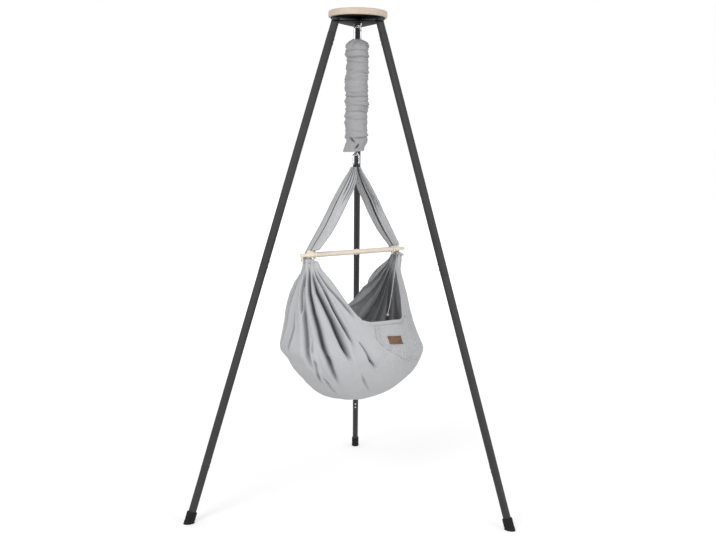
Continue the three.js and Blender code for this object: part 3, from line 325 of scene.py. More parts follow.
for side in legAzimuths:
    before = set(stubs.verts)
    half, inner = spigot[0] / 2, spigot[0] / 2 - tubeWall
    bottom, step = upperTop - stubDepth, upperTop + shoulderLift
    top = up_the_leg(low + hubPlateThickness / 2) - stubShortfall
    spun(stubs, [
        (half, bottom), (half, step), (half + stubShoulder, step), (half + stubShoulder, top),
        (inner, top), (inner, bottom),
    ], ovalSteps, closed=True)
    stub = [v for v in stubs.verts if v not in before]
    oval(stubs, stub, spigot, spigot[0])
    bmesh.ops.transform(stubs, matrix=leg_place(side), verts=stub)
soften(stubs, 0.0004, 2, 0.9)
as_piece("hub_stubs_steel", stubs, greyPaint, "stand", "hub_steel")

# Legs. Each is three oval steel tubes of falling size, painted dark grey. The
# neck of each is pushed into the tube above it.
middleJoint = up_the_leg(0.918)
lowerJoint = up_the_leg(0.195)
rubberFloor = 0.014
restGap = 0.0003
swage = 0.008
lowerNeck, footNeck = 0.090, 0.070
neckInset, neckInner = 0.0014, 0.003
lipInset, lipRun = 0.0004, 0.002
tubeEdge, tubeSteps = 0.0004, 64


def necked(bottom, joint, neck):
    """Insets and heights of a tube whose narrower neck goes up into the tube above a joint."""
    return [
        (0, bottom), (0, joint - restGap - lipRun), (lipInset, joint - restGap),
        (neckInset, joint - restGap), (neckInset, joint + neck), (neckInner, joint + neck),
        (neckInner, joint - swage / 2), (tubeWall, joint - swage), (tubeWall, bottom),
    ]


legTubes = {
    "upper_tube": (upperOval, [
        (0, middleJoint), (0, upperTop), (tubeWall, upperTop), (tubeWall, middleJoint),
    ]),
    "lower_tube": (lowerOval, necked(lowerJoint, middleJoint, lowerNeck)),
    "foot_tube": (footOval, necked(rubberFloor + restGap, lowerJoint, footNeck)),
}
for side in legAzimuths:
    for kind, (size, profile) in legTubes.items():
        tube = bmesh.new()
        wall = [(size[0] / 2 - inset, height) for inset, height in profile]
        spun(tube, wall, tubeSteps, closed=True)
        soften(tube, tubeEdge)
        oval(tube, tube.verts, size, size[0])
        name = f"{kind}_{side}"
        as_piece(f"{name}_steel", tube, greyPaint, "stand", "leg_tube", name, place=leg_place(side))

# Leg screws. Two steel button heads with a hexagon socket hold each joint, on
# the side of the leg that faces the cradle.
def steel_finish(name, colour, rough, grain=900.0):
    """Bright steel with fine rolling marks and a few duller spots."""
    finish = Finish(name, Metallic=1.0)
    place = finish.place()
    fine = finish.noise(place, grain, 2.0)
    spots = finish.noise(place, 60.0, 3.0)
    tone = tuple(0.72 * value for value in colour[:3]) + (1.0,)
    finish.set(Base_Color=finish.mix(spots.above(0.4, 0.75), colour, tone))
    finish.set(Roughness=rough + 0.2 * spots.above(0.35, 0.8))
    return finish.set(Normal=finish.relief(fine, 0.00003, 0.5))


zincSteel = steel_finish("zinc plated steel", linear(208, 210, 212), 0.24)
screwHead = 0.0036
screwShank = 0.002
screwLength = 0.0049
socketRadius = 0.0012
socketFloor = 0.0006
screwProfile = [
    (0, socketFloor), (socketRadius, socketFloor), (socketRadius, 0.00185), (0.0022, 0.0018),
    (0.003, 0.0014), (screwHead, 0.0007), (screwHead, 0), (screwShank, 0),
    (screwShank, -screwLength), (0, -screwLength),
]
screwRows = {
    "top": (upperOval, [upperTop - 0.021, upperTop - 0.038]),
    "middle": (upperOval, [middleJoint + 0.024, middleJoint + 0.046]),
    "lower": (lowerOval, [lowerJoint + 0.014, lowerJoint + 0.031]),
}
for side in legAzimuths:
    for row, (size, heights) in screwRows.items():
        for count, height in enumerate(heights, 1):
            screw = bmesh.new()
            spun(screw, screwProfile, 24)
            for v in screw.verts:
                across = v.co.xy.length
                if 0 < across < socketRadius * 1.1:
                    turned = math.atan2(v.co.y, v.co.x) % (math.pi / 3) - math.pi / 6
                    v.co.xy *= math.cos(math.pi / 6) / math.cos(turned)
            spot = Matrix.Translation((-size[0] / 2 - restGap, 0, height))
            seat = leg_place(side) @ spot @ Matrix.Rotation(-math.pi / 2, 4, "Y")
            name = f"{row}_screw_{side}_{count}"
            as_piece(f"{name}_head", screw, zincSteel, "stand", "zinc_steel", name, place=seat)

# Rubber feet. Black cups are pressed over the foot tubes and stand flat on the
# floor, with a flared sole and a moulded line.
rubber = Finish("black rubber", Specular_IOR_Level=0.3)
rubberGrain = rubber.noise(rubber.place(), 700.0, 3.0)
rubberWear = rubber.noise(rubber.place(), 35.0, 3.0).above(0.45, 0.8)
rubber.set(Base_Color=rubber.mix(rubberWear * 0.5, linear(20, 20, 21), linear(44, 44, 44)))
rubber.set(Roughness=0.72 + 0.2 * rubberWear, Normal=rubber.relief(rubberGrain, 0.0001, 0.5))
rubberOval = (0.039, 0.031)
rubberFlare = 0.0006
rubberHeight = 0.044
rubberRim = 0.0015
rubberLine = 0.0008
cupBore = footOval[0] / 2 + tubeClearance
cupBelow = 0.014
wide = rubberOval[0] / 2
cupProfile = [
    (0, -cupBelow), (wide + rubberFlare, -cupBelow), (wide + rubberFlare, 0.009),
    (wide - rubberLine, 0.011), (wide - rubberLine, 0.0125), (wide, 0.0145),
    (wide, rubberHeight - rubberRim), (wide - rubberRim, rubberHeight),
    (cupBore, rubberHeight), (cupBore, rubberFloor), (0, rubberFloor),
]
for side in legAzimuths:
    foot = bmesh.new()
    spun(foot, cupProfile, tubeSteps)
    oval(foot, foot.verts, rubberOval, rubberOval[0])
    bmesh.ops.transform(foot, matrix=leg_place(side), verts=foot.verts)
    cut = bmesh.ops.bisect_plane(
        foot, geom=foot.verts[:] + foot.edges[:] + foot.faces[:], dist=1e-6,
        plane_co=(0, 0, 0), plane_no=(0, 0, 1), clear_inner=True,
    )
    sole = [e for e in cut["geom_cut"] if isinstance(e, bmesh.types.BMEdge)]
    bmesh.ops.edgeloop_fill(foot, edges=sole)
    name = f"rubber_foot_{side}"
    as_piece(f"{name}_cup", foot, rubber, "stand", "rubber_foot", name, sharpest=0.9)

# Steel eye under the hub. A bent rod hangs down, and a nut holds each of its
# threaded ends on the triangular plate.
def drawn_through(points, step, between=24):
    """A smooth line through unevenly spaced points, with a vertex at every step."""
    points = [Vector(point) for point in points]
    ends = [2 * points[0] - points[1], *points, 2 * points[-1] - points[-2]]
    line = []
    for a, b, c, d in zip(ends, ends[1:], ends[2:], ends[3:]):
        first = (b - a).length ** 0.5
        second = first + (c - b).length ** 0.5
        third = second + (d - c).length ** 0.5
        for i in range(between):
            t = first + (second - first) * i / between
            ab = a + (b - a) * t / first
            bc = b + (c - b) * (t - first) / (second - first)
            cd = c + (d - c) * (t - second) / (third - second)
            abc = ab + (bc - ab) * t / second
            bcd = bc + (cd - bc) * (t - first) / (third - first)
            line.append(abc + (bcd - abc) * (t - first) / (second - first))
    return evenly(line + [points[-1]], step)


def evenly(line, step):
    """A line's own course in even steps."""
    spans = np.array([0.0] + [(b - a).length for a, b in zip(line, line[1:])]).cumsum()
    count = max(2, round(spans[-1] / step) + 1)
    places = np.linspace(0, spans[-1], count)
    columns = [np.interp(places, spans, [point[axis] for point in line]) for axis in range(3)]
    return [Vector(point) for point in zip(*columns)]


def skin(bm, rings, loop=False):
    """Bridges rings of vertices, each to the next, and closes the ends of an open run."""
    edges = [list(dict.fromkeys(e for v in ring for e in v.link_edges)) for ring in rings]
    pairs = list(zip(edges, edges[1:])) + ([(edges[-1], edges[0])] if loop else [])
    for one, other in pairs:
        bmesh.ops.bridge_loops(bm, edges=one + other)
    if not loop:
        for end in (edges[0], edges[-1]):
            bmesh.ops.edgeloop_fill(bm, edges=end)


def wire(bm, line, radius, sides=16, loop=False):
    """A round wire along a line. Its radius is a number or one for each point."""
    rings, side = [], Vector((0.3, 0.5, 0.81))
    last = len(line) - 1
    for i, point in enumerate(line):
        before = line[i - 1] if loop or i else line[0]
        after = line[(i + 1) % len(line)] if loop or i < last else line[last]
        ahead = (after - before).normalized()
        side = (side - ahead * side.dot(ahead)).normalized()
        facing = Matrix((side, ahead.cross(side), ahead)).transposed().to_4x4()
        reach = radius[i] if hasattr(radius, "__len__") else radius
        spot = Matrix.Translation(point) @ facing
        ring = bmesh.ops.create_circle(
            bm, cap_ends=False, radius=reach, segments=sides, matrix=spot
        )
        rings.append(ring["verts"])
    skin(bm, rings, loop)


cradleTurn = math.radians(43)
hanging = onAxis @ Matrix.Rotation(cradleTurn, 4, "Z")
eyeHalf, eyeBottom, eyeTop, eyeWire = 0.020, 1.841, 1.869, 0.003
eyeSide = [
    (0, eyeHalf, eyeTop), (0, eyeHalf, 1.8615), (0, eyeHalf, 1.854), (0, 0.0164, 1.84646),
    (0, 0.0084, 1.84191),
]
eyePath = eyeSide + [(0, 0, eyeBottom)] + [(0, -y, z) for _, y, z in reversed(eyeSide)]
threadDepth, threadStart = 0.00025, 1.853
rod = drawn_through(eyePath, 0.0005)
threaded = [
    eyeWire - threadDepth * (i % 2) * (point.z > threadStart) for i, point in enumerate(rod)
]
eye = bmesh.new()
wire(eye, rod, threaded)
as_piece("eye_rod", eye, zincSteel, "stand", "zinc_steel", "eye_bolt", place=hanging)
nutFlats, nutHeight = 0.010, 0.005
for count, side in enumerate((-1, 1), 1):
    nut = bmesh.new()
    seat = Matrix.Translation((0, side * eyeHalf, triangleTop + restGap + nutHeight / 2))
    corner = nutFlats / math.sqrt(3)
    bmesh.ops.create_cone(
        nut, cap_ends=True, segments=6, radius1=corner, radius2=corner, depth=nutHeight,
        matrix=seat,
    )
    soften(nut, 0.0006, 3)
    name = f"eye_nut_{count}"
    as_piece(f"{name}_steel", nut, zincSteel, "stand", "zinc_steel", name, place=hanging)

# Carabiners. Each is a bent steel rod with a slot that holds the hinged gate on
# a pin. The large one hangs on the eye, the small one under the swivel.
def carved(bm, cutter):
    """What is left of one closed mesh where another is cut away."""
    things = []
    for source in (bm, cutter):
        mesh = bpy.data.meshes.new("carving")
        source.to_mesh(mesh)
        source.free()
        things.append(bpy.data.objects.new("carving", mesh))
        scene.collection.objects.link(things[-1])
    cut = things[0].modifiers.new("cut", "BOOLEAN")
    cut.operation, cut.solver, cut.object = "DIFFERENCE", "EXACT", things[1]
    rest = bmesh.new()
    rest.from_object(things[0], bpy.context.evaluated_depsgraph_get())
    for thing in things:
        mesh = thing.data
        bpy.data.objects.remove(thing)
        bpy.data.meshes.remove(mesh)
    return rest


def block(low, high):
    """A box between two opposite corners."""
    bm = bmesh.new()
    size = [b - a for a, b in zip(low, high)]
    middle = [(a + b) / 2 for a, b in zip(low, high)]
    stretched = Matrix.Translation(middle) @ Matrix.Diagonal((*size, 1))
    bmesh.ops.create_cube(bm, size=1, matrix=stretched)
    return bm


def carabiner(length, width, radius, top, body, latch, rider, latch_rider):
    """One carabiner. What isn't given is a share of its wire's radius."""
    bend = width / 2
    upper, lower = top - bend, top - length + bend
    nose, pivot = upper - gateInset, lower + gateInset
    line = [Vector((bend, 0, nose))]
    for middle, start in ((upper, 0), (lower, math.pi)):
        turns = [start + math.pi * i / 24 for i in range(25)]
        line += [Vector((bend * math.cos(t), 0, middle + bend * math.sin(t))) for t in turns]
    line.append(Vector((bend, 0, pivot + radius)))
    rod = bmesh.new()
    wire(rod, evenly(line, 0.0015), radius, 20)
    soften(rod, radius * 0.25, 3, 1.2)
    bmesh.ops.recalc_face_normals(rod, faces=rod.faces)
    slit = radius * 0.55
    rod = carved(rod, block(
        (bend - 2 * radius, -slit, pivot - radius * 1.3),
        (bend + 2 * radius, slit, pivot + 2 * radius),
    ))
    pin = [Vector((bend, y * radius, pivot)) for y in (-1.05, 0, 1.05)]
    wire(rod, pin, radius * 0.34, 16)
    as_piece(f"{body}_steel", rod, zincSteel, rider, "zinc_steel", body,
             place=hanging, sharpest=0.9)
    gate = bmesh.new()
    thick, tongue = radius * 0.86, radius * 0.46
    line = [Vector((bend, 0, pivot - radius * 0.85)), Vector((bend, 0, nose - 0.0004))]
    wire(gate, evenly(line, 0.001), thick, 20)
    soften(gate, thick * 0.3, 3, 1.2)
    for v in gate.verts:
        if v.co.z < pivot + radius * 1.45:
            v.co.y = max(-tongue, min(tongue, v.co.y))
    as_piece(f"{latch}_steel", gate, zincSteel, latch_rider, "zinc_steel", latch,
             place=hanging, sharpest=0.9)


gateInset = 0.002
hookLength, hookWidth, hookWire, hookTop = 0.073, 0.033, 0.0035, 1.8483
carabiner(hookLength, hookWidth, hookWire, hookTop, "hook_body", "hook_gate", "hook", "hook_latch")
linkLength, linkWidth, linkWire, linkTop = 0.046, 0.032, 0.003, 1.3635
carabiner(
    linkLength, linkWidth, linkWire, linkTop, "link_body", "link_gate", "cradle", "link_latch"
)

# Safety strap. Black nylon webbing hangs on a sewn band round the eye's rod and
# runs down, widening, inside the large carabiner.
def webbing_finish(name, turn):
    """Nylon webbing: ribs across it, threads along it and a dull nylon shine."""
    finish = Finish(name, Sheen_Weight=0.15)
    place = finish.place(turn=(0, 0, turn))
    height = finish.node("SeparateXYZ", None, place, output="Z")
    ribs = (height * (2 * math.pi / 0.0016)).reckon("SINE")
    grain = finish.noise(place, 900.0, 2.0)
    worn = finish.noise(place, 90.0, 3.0).above(0.5, 0.8)
    colour = finish.mix((ribs * 0.5 + 0.5) * 0.6, linear(22, 22, 23), linear(40, 40, 42))
    finish.set(Base_Color=finish.mix(worn * 0.35, colour, linear(66, 66, 68)))
    finish.set(Roughness=0.62 + 0.25 * grain)
    return finish.set(Normal=finish.relief(ribs * 0.5 + grain, 0.0003, 0.8))


def ring_through(bm, corners):
    """A closed ring of edges through corners."""
    ring = [bm.verts.new(corner) for corner in corners]
    for a, b in zip(ring, ring[1:] + ring[:1]):
        bm.edges.new((a, b))
    return ring


blackWebbing = webbing_finish("black nylon webbing", -cradleTurn)
strapOffset, strapThickness, strapBottom = 0.009, 0.003, 1.800
bandInner, bandWall, bandHalf, bandHeight = 0.0046, 0.0018, 0.0035, 1.8428
strap = bmesh.new()
outer = bandInner + bandWall
spun(strap, [
    (bandInner, -bandHalf), (outer, -bandHalf), (outer, bandHalf), (bandInner, bandHalf),
], ovalSteps, closed=True)
soften(strap, 0.0005, 2)
seat = Matrix.Translation((0, strapOffset, bandHeight)) @ Matrix.Rotation(math.pi / 2, 4, "X")
bmesh.ops.transform(strap, matrix=seat, verts=strap.verts)
# Half widths of the strap and the heights that it has them at, from the band down
strapHalves = [
    (0.004, bandHeight - bandInner - bandWall / 2), (0.0045, 1.832), (0.0072, 1.822),
    (0.0098, 1.812), (0.0105, strapBottom),
]
thick = strapThickness / 2
skin(strap, [
    ring_through(strap, [(x, strapOffset + y, height) for x, y in (
        (-half, -thick), (half, -thick), (half, thick), (-half, thick),
    )]) for half, height in strapHalves
])
soften(strap, 0.0007, 3, 1.0)
as_piece("strap_webbing", strap, blackWebbing, "hook", "black_webbing", "safety_strap",
         place=hanging)

# Coil spring. Its top ring is hooked into the large carabiner and its bottom
# ring into the swivel's eye, and the sleeve hides it.
springSteel = steel_finish("bare spring steel", linear(150, 152, 155), 0.3, 1400.0)
springWire, springRadius, springTurns, curl = 0.0022, 0.020, 16, 28
hookBottom = hookTop - hookLength
springTop, springBottom, swivelEye = 1.750, 1.428, 1.412
swivelWire, ringGap = 0.003, 0.0008
topRing = hookWire + springWire + ringGap
bottomRing = swivelWire + springWire + ringGap
topOpens, bottomWraps = math.radians(-70), math.radians(250)
coil = []
for i in range(curl + 1):
    turn = topOpens + (math.pi - topOpens) * i / curl
    coil.append(Vector((0, topRing * math.cos(turn), hookBottom + topRing * math.sin(turn))))
for i in range(1, curl // 2):
    share = i / (curl // 2)
    reach = topRing + (springRadius - topRing) * (1 - math.cos(share * math.pi / 2))
    turn = -math.pi / 2 * (1 - share)
    height = hookBottom + (springTop - hookBottom) * math.sin(share * math.pi / 2)
    coil.append(Vector((reach * math.cos(turn), reach * math.sin(turn), height)))
for i in range(curl * springTurns + 1):
    turn = 2 * math.pi * i / curl
    height = springTop + (springBottom - springTop) * i / (curl * springTurns)
    coil.append(Vector((springRadius * math.cos(turn), springRadius * math.sin(turn), height)))
for i in range(1, curl):
    share = i / curl
    reach = bottomRing + (springRadius - bottomRing) * math.cos(share * math.pi / 2)
    height = springBottom + (swivelEye - springBottom) * (1 - math.cos(share * math.pi / 2))
    turn = math.pi * share
    coil.append(Vector((reach * math.cos(turn), reach * math.sin(turn), height)))
for i in range(curl + 1):
    turn = math.pi + bottomWraps * i / curl
    coil.append(Vector((bottomRing * math.cos(turn), 0, swivelEye + bottomRing * math.sin(turn))))
spring = bmesh.new()
wire(spring, evenly(coil, 0.004), springWire, 10)
bmesh.ops.recalc_face_normals(spring, faces=spring.faces)
bmesh.ops.transform(spring, matrix=hanging, verts=spring.verts)
spring = as_object("spring_coil", spring, springSteel)
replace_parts(spring, "spring")
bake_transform(spring)

# Cloth sleeve round the spring. A tube of the cradle's own cotton is gathered on
# the spring, so it lies in rings, with a drawn neck and a loose lower end.
def cloth_finish(name, light, dark, thread=0.0011):
    """Woven cotton: two sets of threads, mottled yarn, soft wear, a faint bloom and painted shade
    in folds.
    """
    finish = Finish(name, Sheen_Weight=0.12, Sheen_Roughness=0.6, Specular_IOR_Level=0.2)
    flat = finish.place(source="UV")

    def threads(axis):
        """Threads side by side along one axis of the flat cloth."""
        place = finish.node("SeparateXYZ", None, flat, output=axis)
        return (place * (2 * math.pi / thread)).reckon("SINE")

    weave = threads("X") * threads("Y")
    slubs = finish.noise(finish.place((60, 900, 1), source="UV"), 1.0, 3.0, 0.6)
    yarn = finish.noise(finish.place((900, 60, 1), source="UV"), 1.0, 3.0, 0.6)
    cloud = finish.noise(finish.place((9, 9, 9)), 1.0, 4.0, 0.55)
    fine = finish.noise(finish.place(), 260.0, 2.0)
    mottle = slubs * 0.5 + yarn * 0.5
    base = finish.mix(mottle.above(0.35, 0.65) * 0.55, light, dark)
    tinted = finish.mix(cloud.above(0.35, 0.7) * 0.35, base, dark)
    # Painted shade: the colour darkens towards a dark grey where the mesh's fold layer marks the
    # depths of folds, which get little light.
    painted_fold_shade = finish.node("Attribute", {"attribute_name": "fold"}, output="Fac")
    tinted = finish.mix(painted_fold_shade * 0.8, tinted, linear(80, 81, 84))
    finish.set(Base_Color=finish.mix((weave * 0.5 + 0.5) * 0.12, tinted, dark))
    finish.set(Roughness=0.82 + 0.12 * mottle)
    rough = finish.relief(weave * 0.5 + mottle, 0.00022, 0.55)
    return finish.set(Normal=finish.relief(fine, 0.0004, 0.35, rough))


def as_cloth(name, bm, finish, slot, wall, body, *nodes, place=None):
    """Gives a sheet its thickness, inwards from the drawn face. Without a body it rides on none."""
    if place:
        bmesh.ops.transform(bm, matrix=place, verts=bm.verts)
    piece = as_object(name, bm, finish, math.pi)
    inwards = piece.modifiers.new("wall", "SOLIDIFY")
    inwards.thickness, inwards.offset, inwards.use_rim = wall, -1, True
    bpy.context.view_layer.update()
    worked_out = piece.evaluated_get(bpy.context.evaluated_depsgraph_get())
    solid = bpy.data.meshes.new_from_object(worked_out)
    piece.modifiers.clear()
    old, piece.data = piece.data, solid
    bpy.data.meshes.remove(old)
    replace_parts(piece, *nodes)
    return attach(piece, body) if body else piece


def draped(columns, rows, place_at, wrap=True):
    """A grid of cloth. A function of two shares gives its points, UV in metres and, if it has them,
    shares of painted shade in its folds.
    """
    bm = bmesh.new()
    layer = bm.loops.layers.uv.new("cloth")
    bmesh.ops.create_grid(bm, x_segments=columns, y_segments=rows, size=0.5, calc_uvs=False)
    share = np.array([(v.co.x + 0.5, 0.5 - v.co.y) for v in bm.verts])
    points, flat, *folds = place_at(share[:, 0], share[:, 1])
    # Painted shade: the fold layer keeps how much each point's colour is darkened.
    depth = bm.verts.layers.float.new("fold")
    for v, point in zip(bm.verts, points):
        v.co = point
        v[depth] = folds[0][v.index] if folds else 0
    for face in bm.faces:
        for loop in face.loops:
            loop[layer].uv = flat[loop.vert.index]
    if wrap:
        bmesh.ops.remove_doubles(bm, verts=bm.verts, dist=1e-5)
    return bm


def smooth(value, low, high):
    """0 at one value, 1 at the other and smooth between them."""
    t = np.clip((value - low) / (high - low), 0, 1)
    return t * t * (3 - 2 * t)


def dent(value, centre, half):
    """1 at the centre, falling off to about a third at the half width from it."""
    return np.exp(-(((value - centre) / half) ** 2))


def turned_to(angle, centre):
    """How far an angle is from another, the short way round."""
    return (angle - centre + math.pi) % (2 * math.pi) - math.pi


sleeveTop, sleeveBottom, sleeveMean = 1.795, 1.372, 0.0425
neckAlong, neckAcross = 0.027, 0.012
# Creases: height, tilt, where the tilt is highest, depth, half width
sleeveCreases = [
    (1.7600, 0.002, 200, 0.0030, 0.0030), (1.7500, 0.003, 320, 0.0034, 0.0024),
    (1.7260, 0.001, 270, 0.0050, 0.0030), (1.7080, 0.003, 180, 0.0030, 0.0026),
    (1.6950, 0.002, 40, 0.0026, 0.0030), (1.6800, 0.003, 350, 0.0040, 0.0024),
    (1.6665, 0.001, 250, 0.0050, 0.0026), (1.6500, 0.004, 0, 0.0030, 0.0030),
    (1.6400, 0.001, 280, 0.0054, 0.0026), (1.6120, 0.003, 150, 0.0024, 0.0036),
    (1.5960, 0.002, 60, 0.0024, 0.0030), (1.5780, 0.001, 270, 0.0044, 0.0024),
    (1.5610, 0.003, 20, 0.0034, 0.0026), (1.5430, 0.002, 300, 0.0046, 0.0024),
    (1.5330, 0.003, 330, 0.0040, 0.0022), (1.5220, 0.002, 200, 0.0042, 0.0024),
    (1.4960, 0.003, 100, 0.0024, 0.0034), (1.4730, 0.002, 240, 0.0022, 0.0036),
    (1.4520, 0.004, 180, 0.0026, 0.0030), (1.4225, 0.004, 0, 0.0062, 0.0028),
]
wrinkles, wrinkleStart, wrinkleStep, goldenTurn = 34, 0.05, 0.0112, 2.39996
# Slits between folds: height, angle, depth, half length, half width and slope in degrees
sleeveSlits = [
    (1.4150, 250, 0.011, 0.0125, 0.0030, -42), (1.3915, 277, 0.012, 0.0100, 0.0032, 48),
]


def creased(angle, height, radius, shade):
    """Presses the creases round the sleeve in, with a soft roll above each, and paints shade into
    them.
    """
    for centre, tilt, high_at, depth, half in sleeveCreases:
        away = angle - math.radians(high_at)
        line = centre + tilt * np.cos(away) + 0.0016 * np.sin(3 * angle + centre * 90)
        strength = 0.55 + 0.45 * np.cos(away + centre * 40)
        radius -= depth * strength * dent(height, line, half)
        shade += 70 * depth * strength * dent(height, line, 0.8 * half)
        radius += 0.45 * depth * dent(height, line + 2.4 * half, 1.6 * half)


def wrinkled(angle, height, radius, shade):
    """Short fine wrinkles with painted shade, each at its own side of the sleeve and a little
    higher than the last.
    """
    for k in range(wrinkles):
        centre = sleeveBottom + wrinkleStart + wrinkleStep * k + 0.004 * math.sin(k * 7.3)
        away, wide = turned_to(angle, k * goldenTurn), 0.5 + 0.35 * math.sin(k * 3.1)
        line = centre + 0.006 * math.sin(k * 5.7) * np.sin(away)
        here, pressed = dent(away, 0, wide), dent(height, line, 0.0016)
        radius += 0.0017 * here * (0.8 * dent(height, line + 0.0042, 0.0028) - pressed)
        shade += 0.25 * here * pressed


def slitted(angle, height, radius, shade):
    """Deep sloping slits between the folds of the loose lower end, with painted shade in them."""
    for centre, place, depth, long, narrow, slope in sleeveSlits:
        right, up = turned_to(angle, math.radians(place)) * sleeveMean, height - centre
        cosine, sine = math.cos(math.radians(slope)), math.sin(math.radians(slope))
        along = dent(right * cosine + up * sine, 0, long)
        beside = np.abs(up * cosine - right * sine)
        rolled = 0.35 * dent(beside, 2.4 * narrow, 1.4 * narrow)
        radius += depth * along * (rolled - dent(beside, 0, narrow))
        shade += 1.2 * along * dent(beside, 0, narrow)


def sleeve_at(turn, down):
    """The sleeve, from its gathered neck over a puffed shoulder to its loose lower end."""
    angle = turn * 2 * math.pi
    shoulder, drawnIn = 0.93, 0.027
    share = 1 - down
    over = np.clip((share - shoulder) / (1 - shoulder), 0, 1)
    height = sleeveBottom + (sleeveTop - drawnIn - sleeveBottom) * share / shoulder
    height = np.where(over > 0, sleeveTop - drawnIn + drawnIn * over ** 0.8, height)
    radius, shade = np.full_like(height, sleeveMean), np.zeros_like(height)
    broad = 0.6 + 0.4 * np.sin(angle * 2 + height / 0.03)
    radius += 0.0021 * np.sin(height / 0.0098 + 1.6 * np.sin(angle + 0.4)) * broad
    slow = 0.0017 * np.sin(height / 0.0215 + 2.2 * np.sin(angle - 0.9))
    radius += slow + 0.0009 * np.cos(2 * angle + height / 0.05)
    for folds in (creased, wrinkled, slitted):
        folds(angle, height, radius, shade)
    # A puckered seam down one side, and a bulge on it
    seam = dent(turned_to(angle, math.radians(186)), 0, 0.16)
    radius += seam * (0.0010 + 0.0026 * np.sin(height / 0.0052) * np.sin(height / 0.021))
    bulge = dent(turned_to(angle, math.radians(185)), 0, 0.5)
    radius += 0.0045 * dent(height, 1.642, 0.013) * bulge
    # The puffed shoulder
    puffed = dent(height, sleeveTop - 0.022, 0.020)
    ruffle = 0.0010 * np.sin(height / 0.0021 + 3 * np.sin(3 * angle))
    radius += puffed * (0.0030 + 0.0016 * np.sin(7 * angle + 1) + ruffle)
    # The loose lower end, wider on one side and drawn in on the other
    hem = 1 - smooth(height, sleeveBottom, sleeveBottom + 0.040)
    wider = 0.0050 * dent(turned_to(angle, math.radians(196)), 0, 0.8)
    radius += hem * (0.0012 * np.cos(7 * angle + 0.6) + wider)
    radius -= 0.0125 * hem * dent(turned_to(angle, math.radians(350)), 0, 0.9)
    # The neck, gathered in pleats to an oval
    neck = over ** 1.35
    pleats = 0.0013 * np.sin(17 * angle) + 0.0021 * np.sin(9 * angle + 2)
    pleats = pleats * np.sin(math.pi * np.clip(over * 1.1, 0, 1))
    pleats = pleats + 0.0011 * over * np.sin(17 * angle)
    across = radius + (neckAcross - radius) * neck + pleats
    along = radius + (neckAlong - 0.004 - radius) * neck + pleats
    mouth = angle - cradleTurn
    reach = along * across / np.sqrt((across * np.cos(mouth)) ** 2 + (along * np.sin(mouth)) ** 2)
    rumple = 0.0024 * np.sin(5 * angle + 1.2) * np.sin(math.pi * over)
    rumple -= 0.0012 * neck * np.sin(17 * angle + 1)
    height = height - hem * 0.004 * np.cos(angle - math.radians(200)) + rumple
    height = np.clip(height, sleeveBottom - 0.003, sleeveTop + 0.001)
    points = np.stack([reach * np.cos(angle), reach * np.sin(angle) + standAxis.y, height], 1)
    flat = np.stack([angle * sleeveMean, down * sleeveClothLength], 1)
    # The third share is the shade painted into the creases, wrinkles and slits.
    return points, flat, np.clip(shade, 0, 1)


sleeveWall, sleeveGrid, sleeveClothLength = 0.0012, (150, 310), 0.47
# Painted shade: the sleeve is the cradle's own cotton, coloured darker than on the cradle so that
# it looks shaded.
shadedSleeveCloth = cloth_finish(
    "grey cotton of the sleeve", linear(173, 173, 175), linear(154, 154, 157)
)
sleeve = as_cloth("sleeve_cloth", draped(*sleeveGrid, sleeve_at), shadedSleeveCloth, "grey_cloth",
                  sleeveWall, None, "spring_sleeve")
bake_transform(sleeve)

# Swivel under the spring. A ring and a hollow barrel hang in the spring's lower
# ring, and a headed stem with its own ring turns in the barrel.
def circle(radius, height, steps, along=0):
    """Points of a circle that stands in the plane of Y and Z."""
    turns = (2 * math.pi * i / steps for i in range(steps))
    return [Vector((along, radius * math.cos(t), height + radius * math.sin(t))) for t in turns]


# Rings: radius, radius of the wire and height
upperRing, lowerRing = (0.008, swivelWire, 1.404), (0.0075, 0.0025, 1.3647)
barrelBottom, barrelTop, barrelRadius = 1.379, 1.396, 0.008
barrelMouth, barrelLip, barrelBore, boreTop = 0.0035, 0.003, 0.0054, 0.011
stem, stemHead, headHeight = 0.003, 0.0049, 0.005
swivel = bmesh.new()
lip, top = barrelBottom + barrelLip, barrelBottom + boreTop
spun(swivel, [
    (0, barrelTop), (barrelRadius, barrelTop), (barrelRadius, barrelBottom),
    (barrelMouth, barrelBottom), (barrelMouth, lip), (barrelBore, lip), (barrelBore, top), (0, top),
], ovalSteps)
soften(swivel, 0.0007, 3)
radius, thick, height = upperRing
wire(swivel, circle(radius, height, ovalSteps), thick, 16, loop=True)
as_piece("swivel_barrel", swivel, zincSteel, "bouncer", "zinc_steel", "swivel_upper",
         place=hanging)
swivel = bmesh.new()
radius, thick, height = lowerRing
low, high = height + 0.0072, barrelBottom + 0.0033
spun(swivel, [
    (0, low), (stem, low), (stem, high), (stemHead, high),
    (stemHead, high + headHeight), (0, high + headHeight),
], 32)
soften(swivel, 0.0004, 2)
wire(swivel, circle(radius, height, ovalSteps), thick, 16, loop=True)
as_piece("swivel_stem", swivel, zincSteel, "spinner", "zinc_steel", "swivel_lower",
         place=hanging)

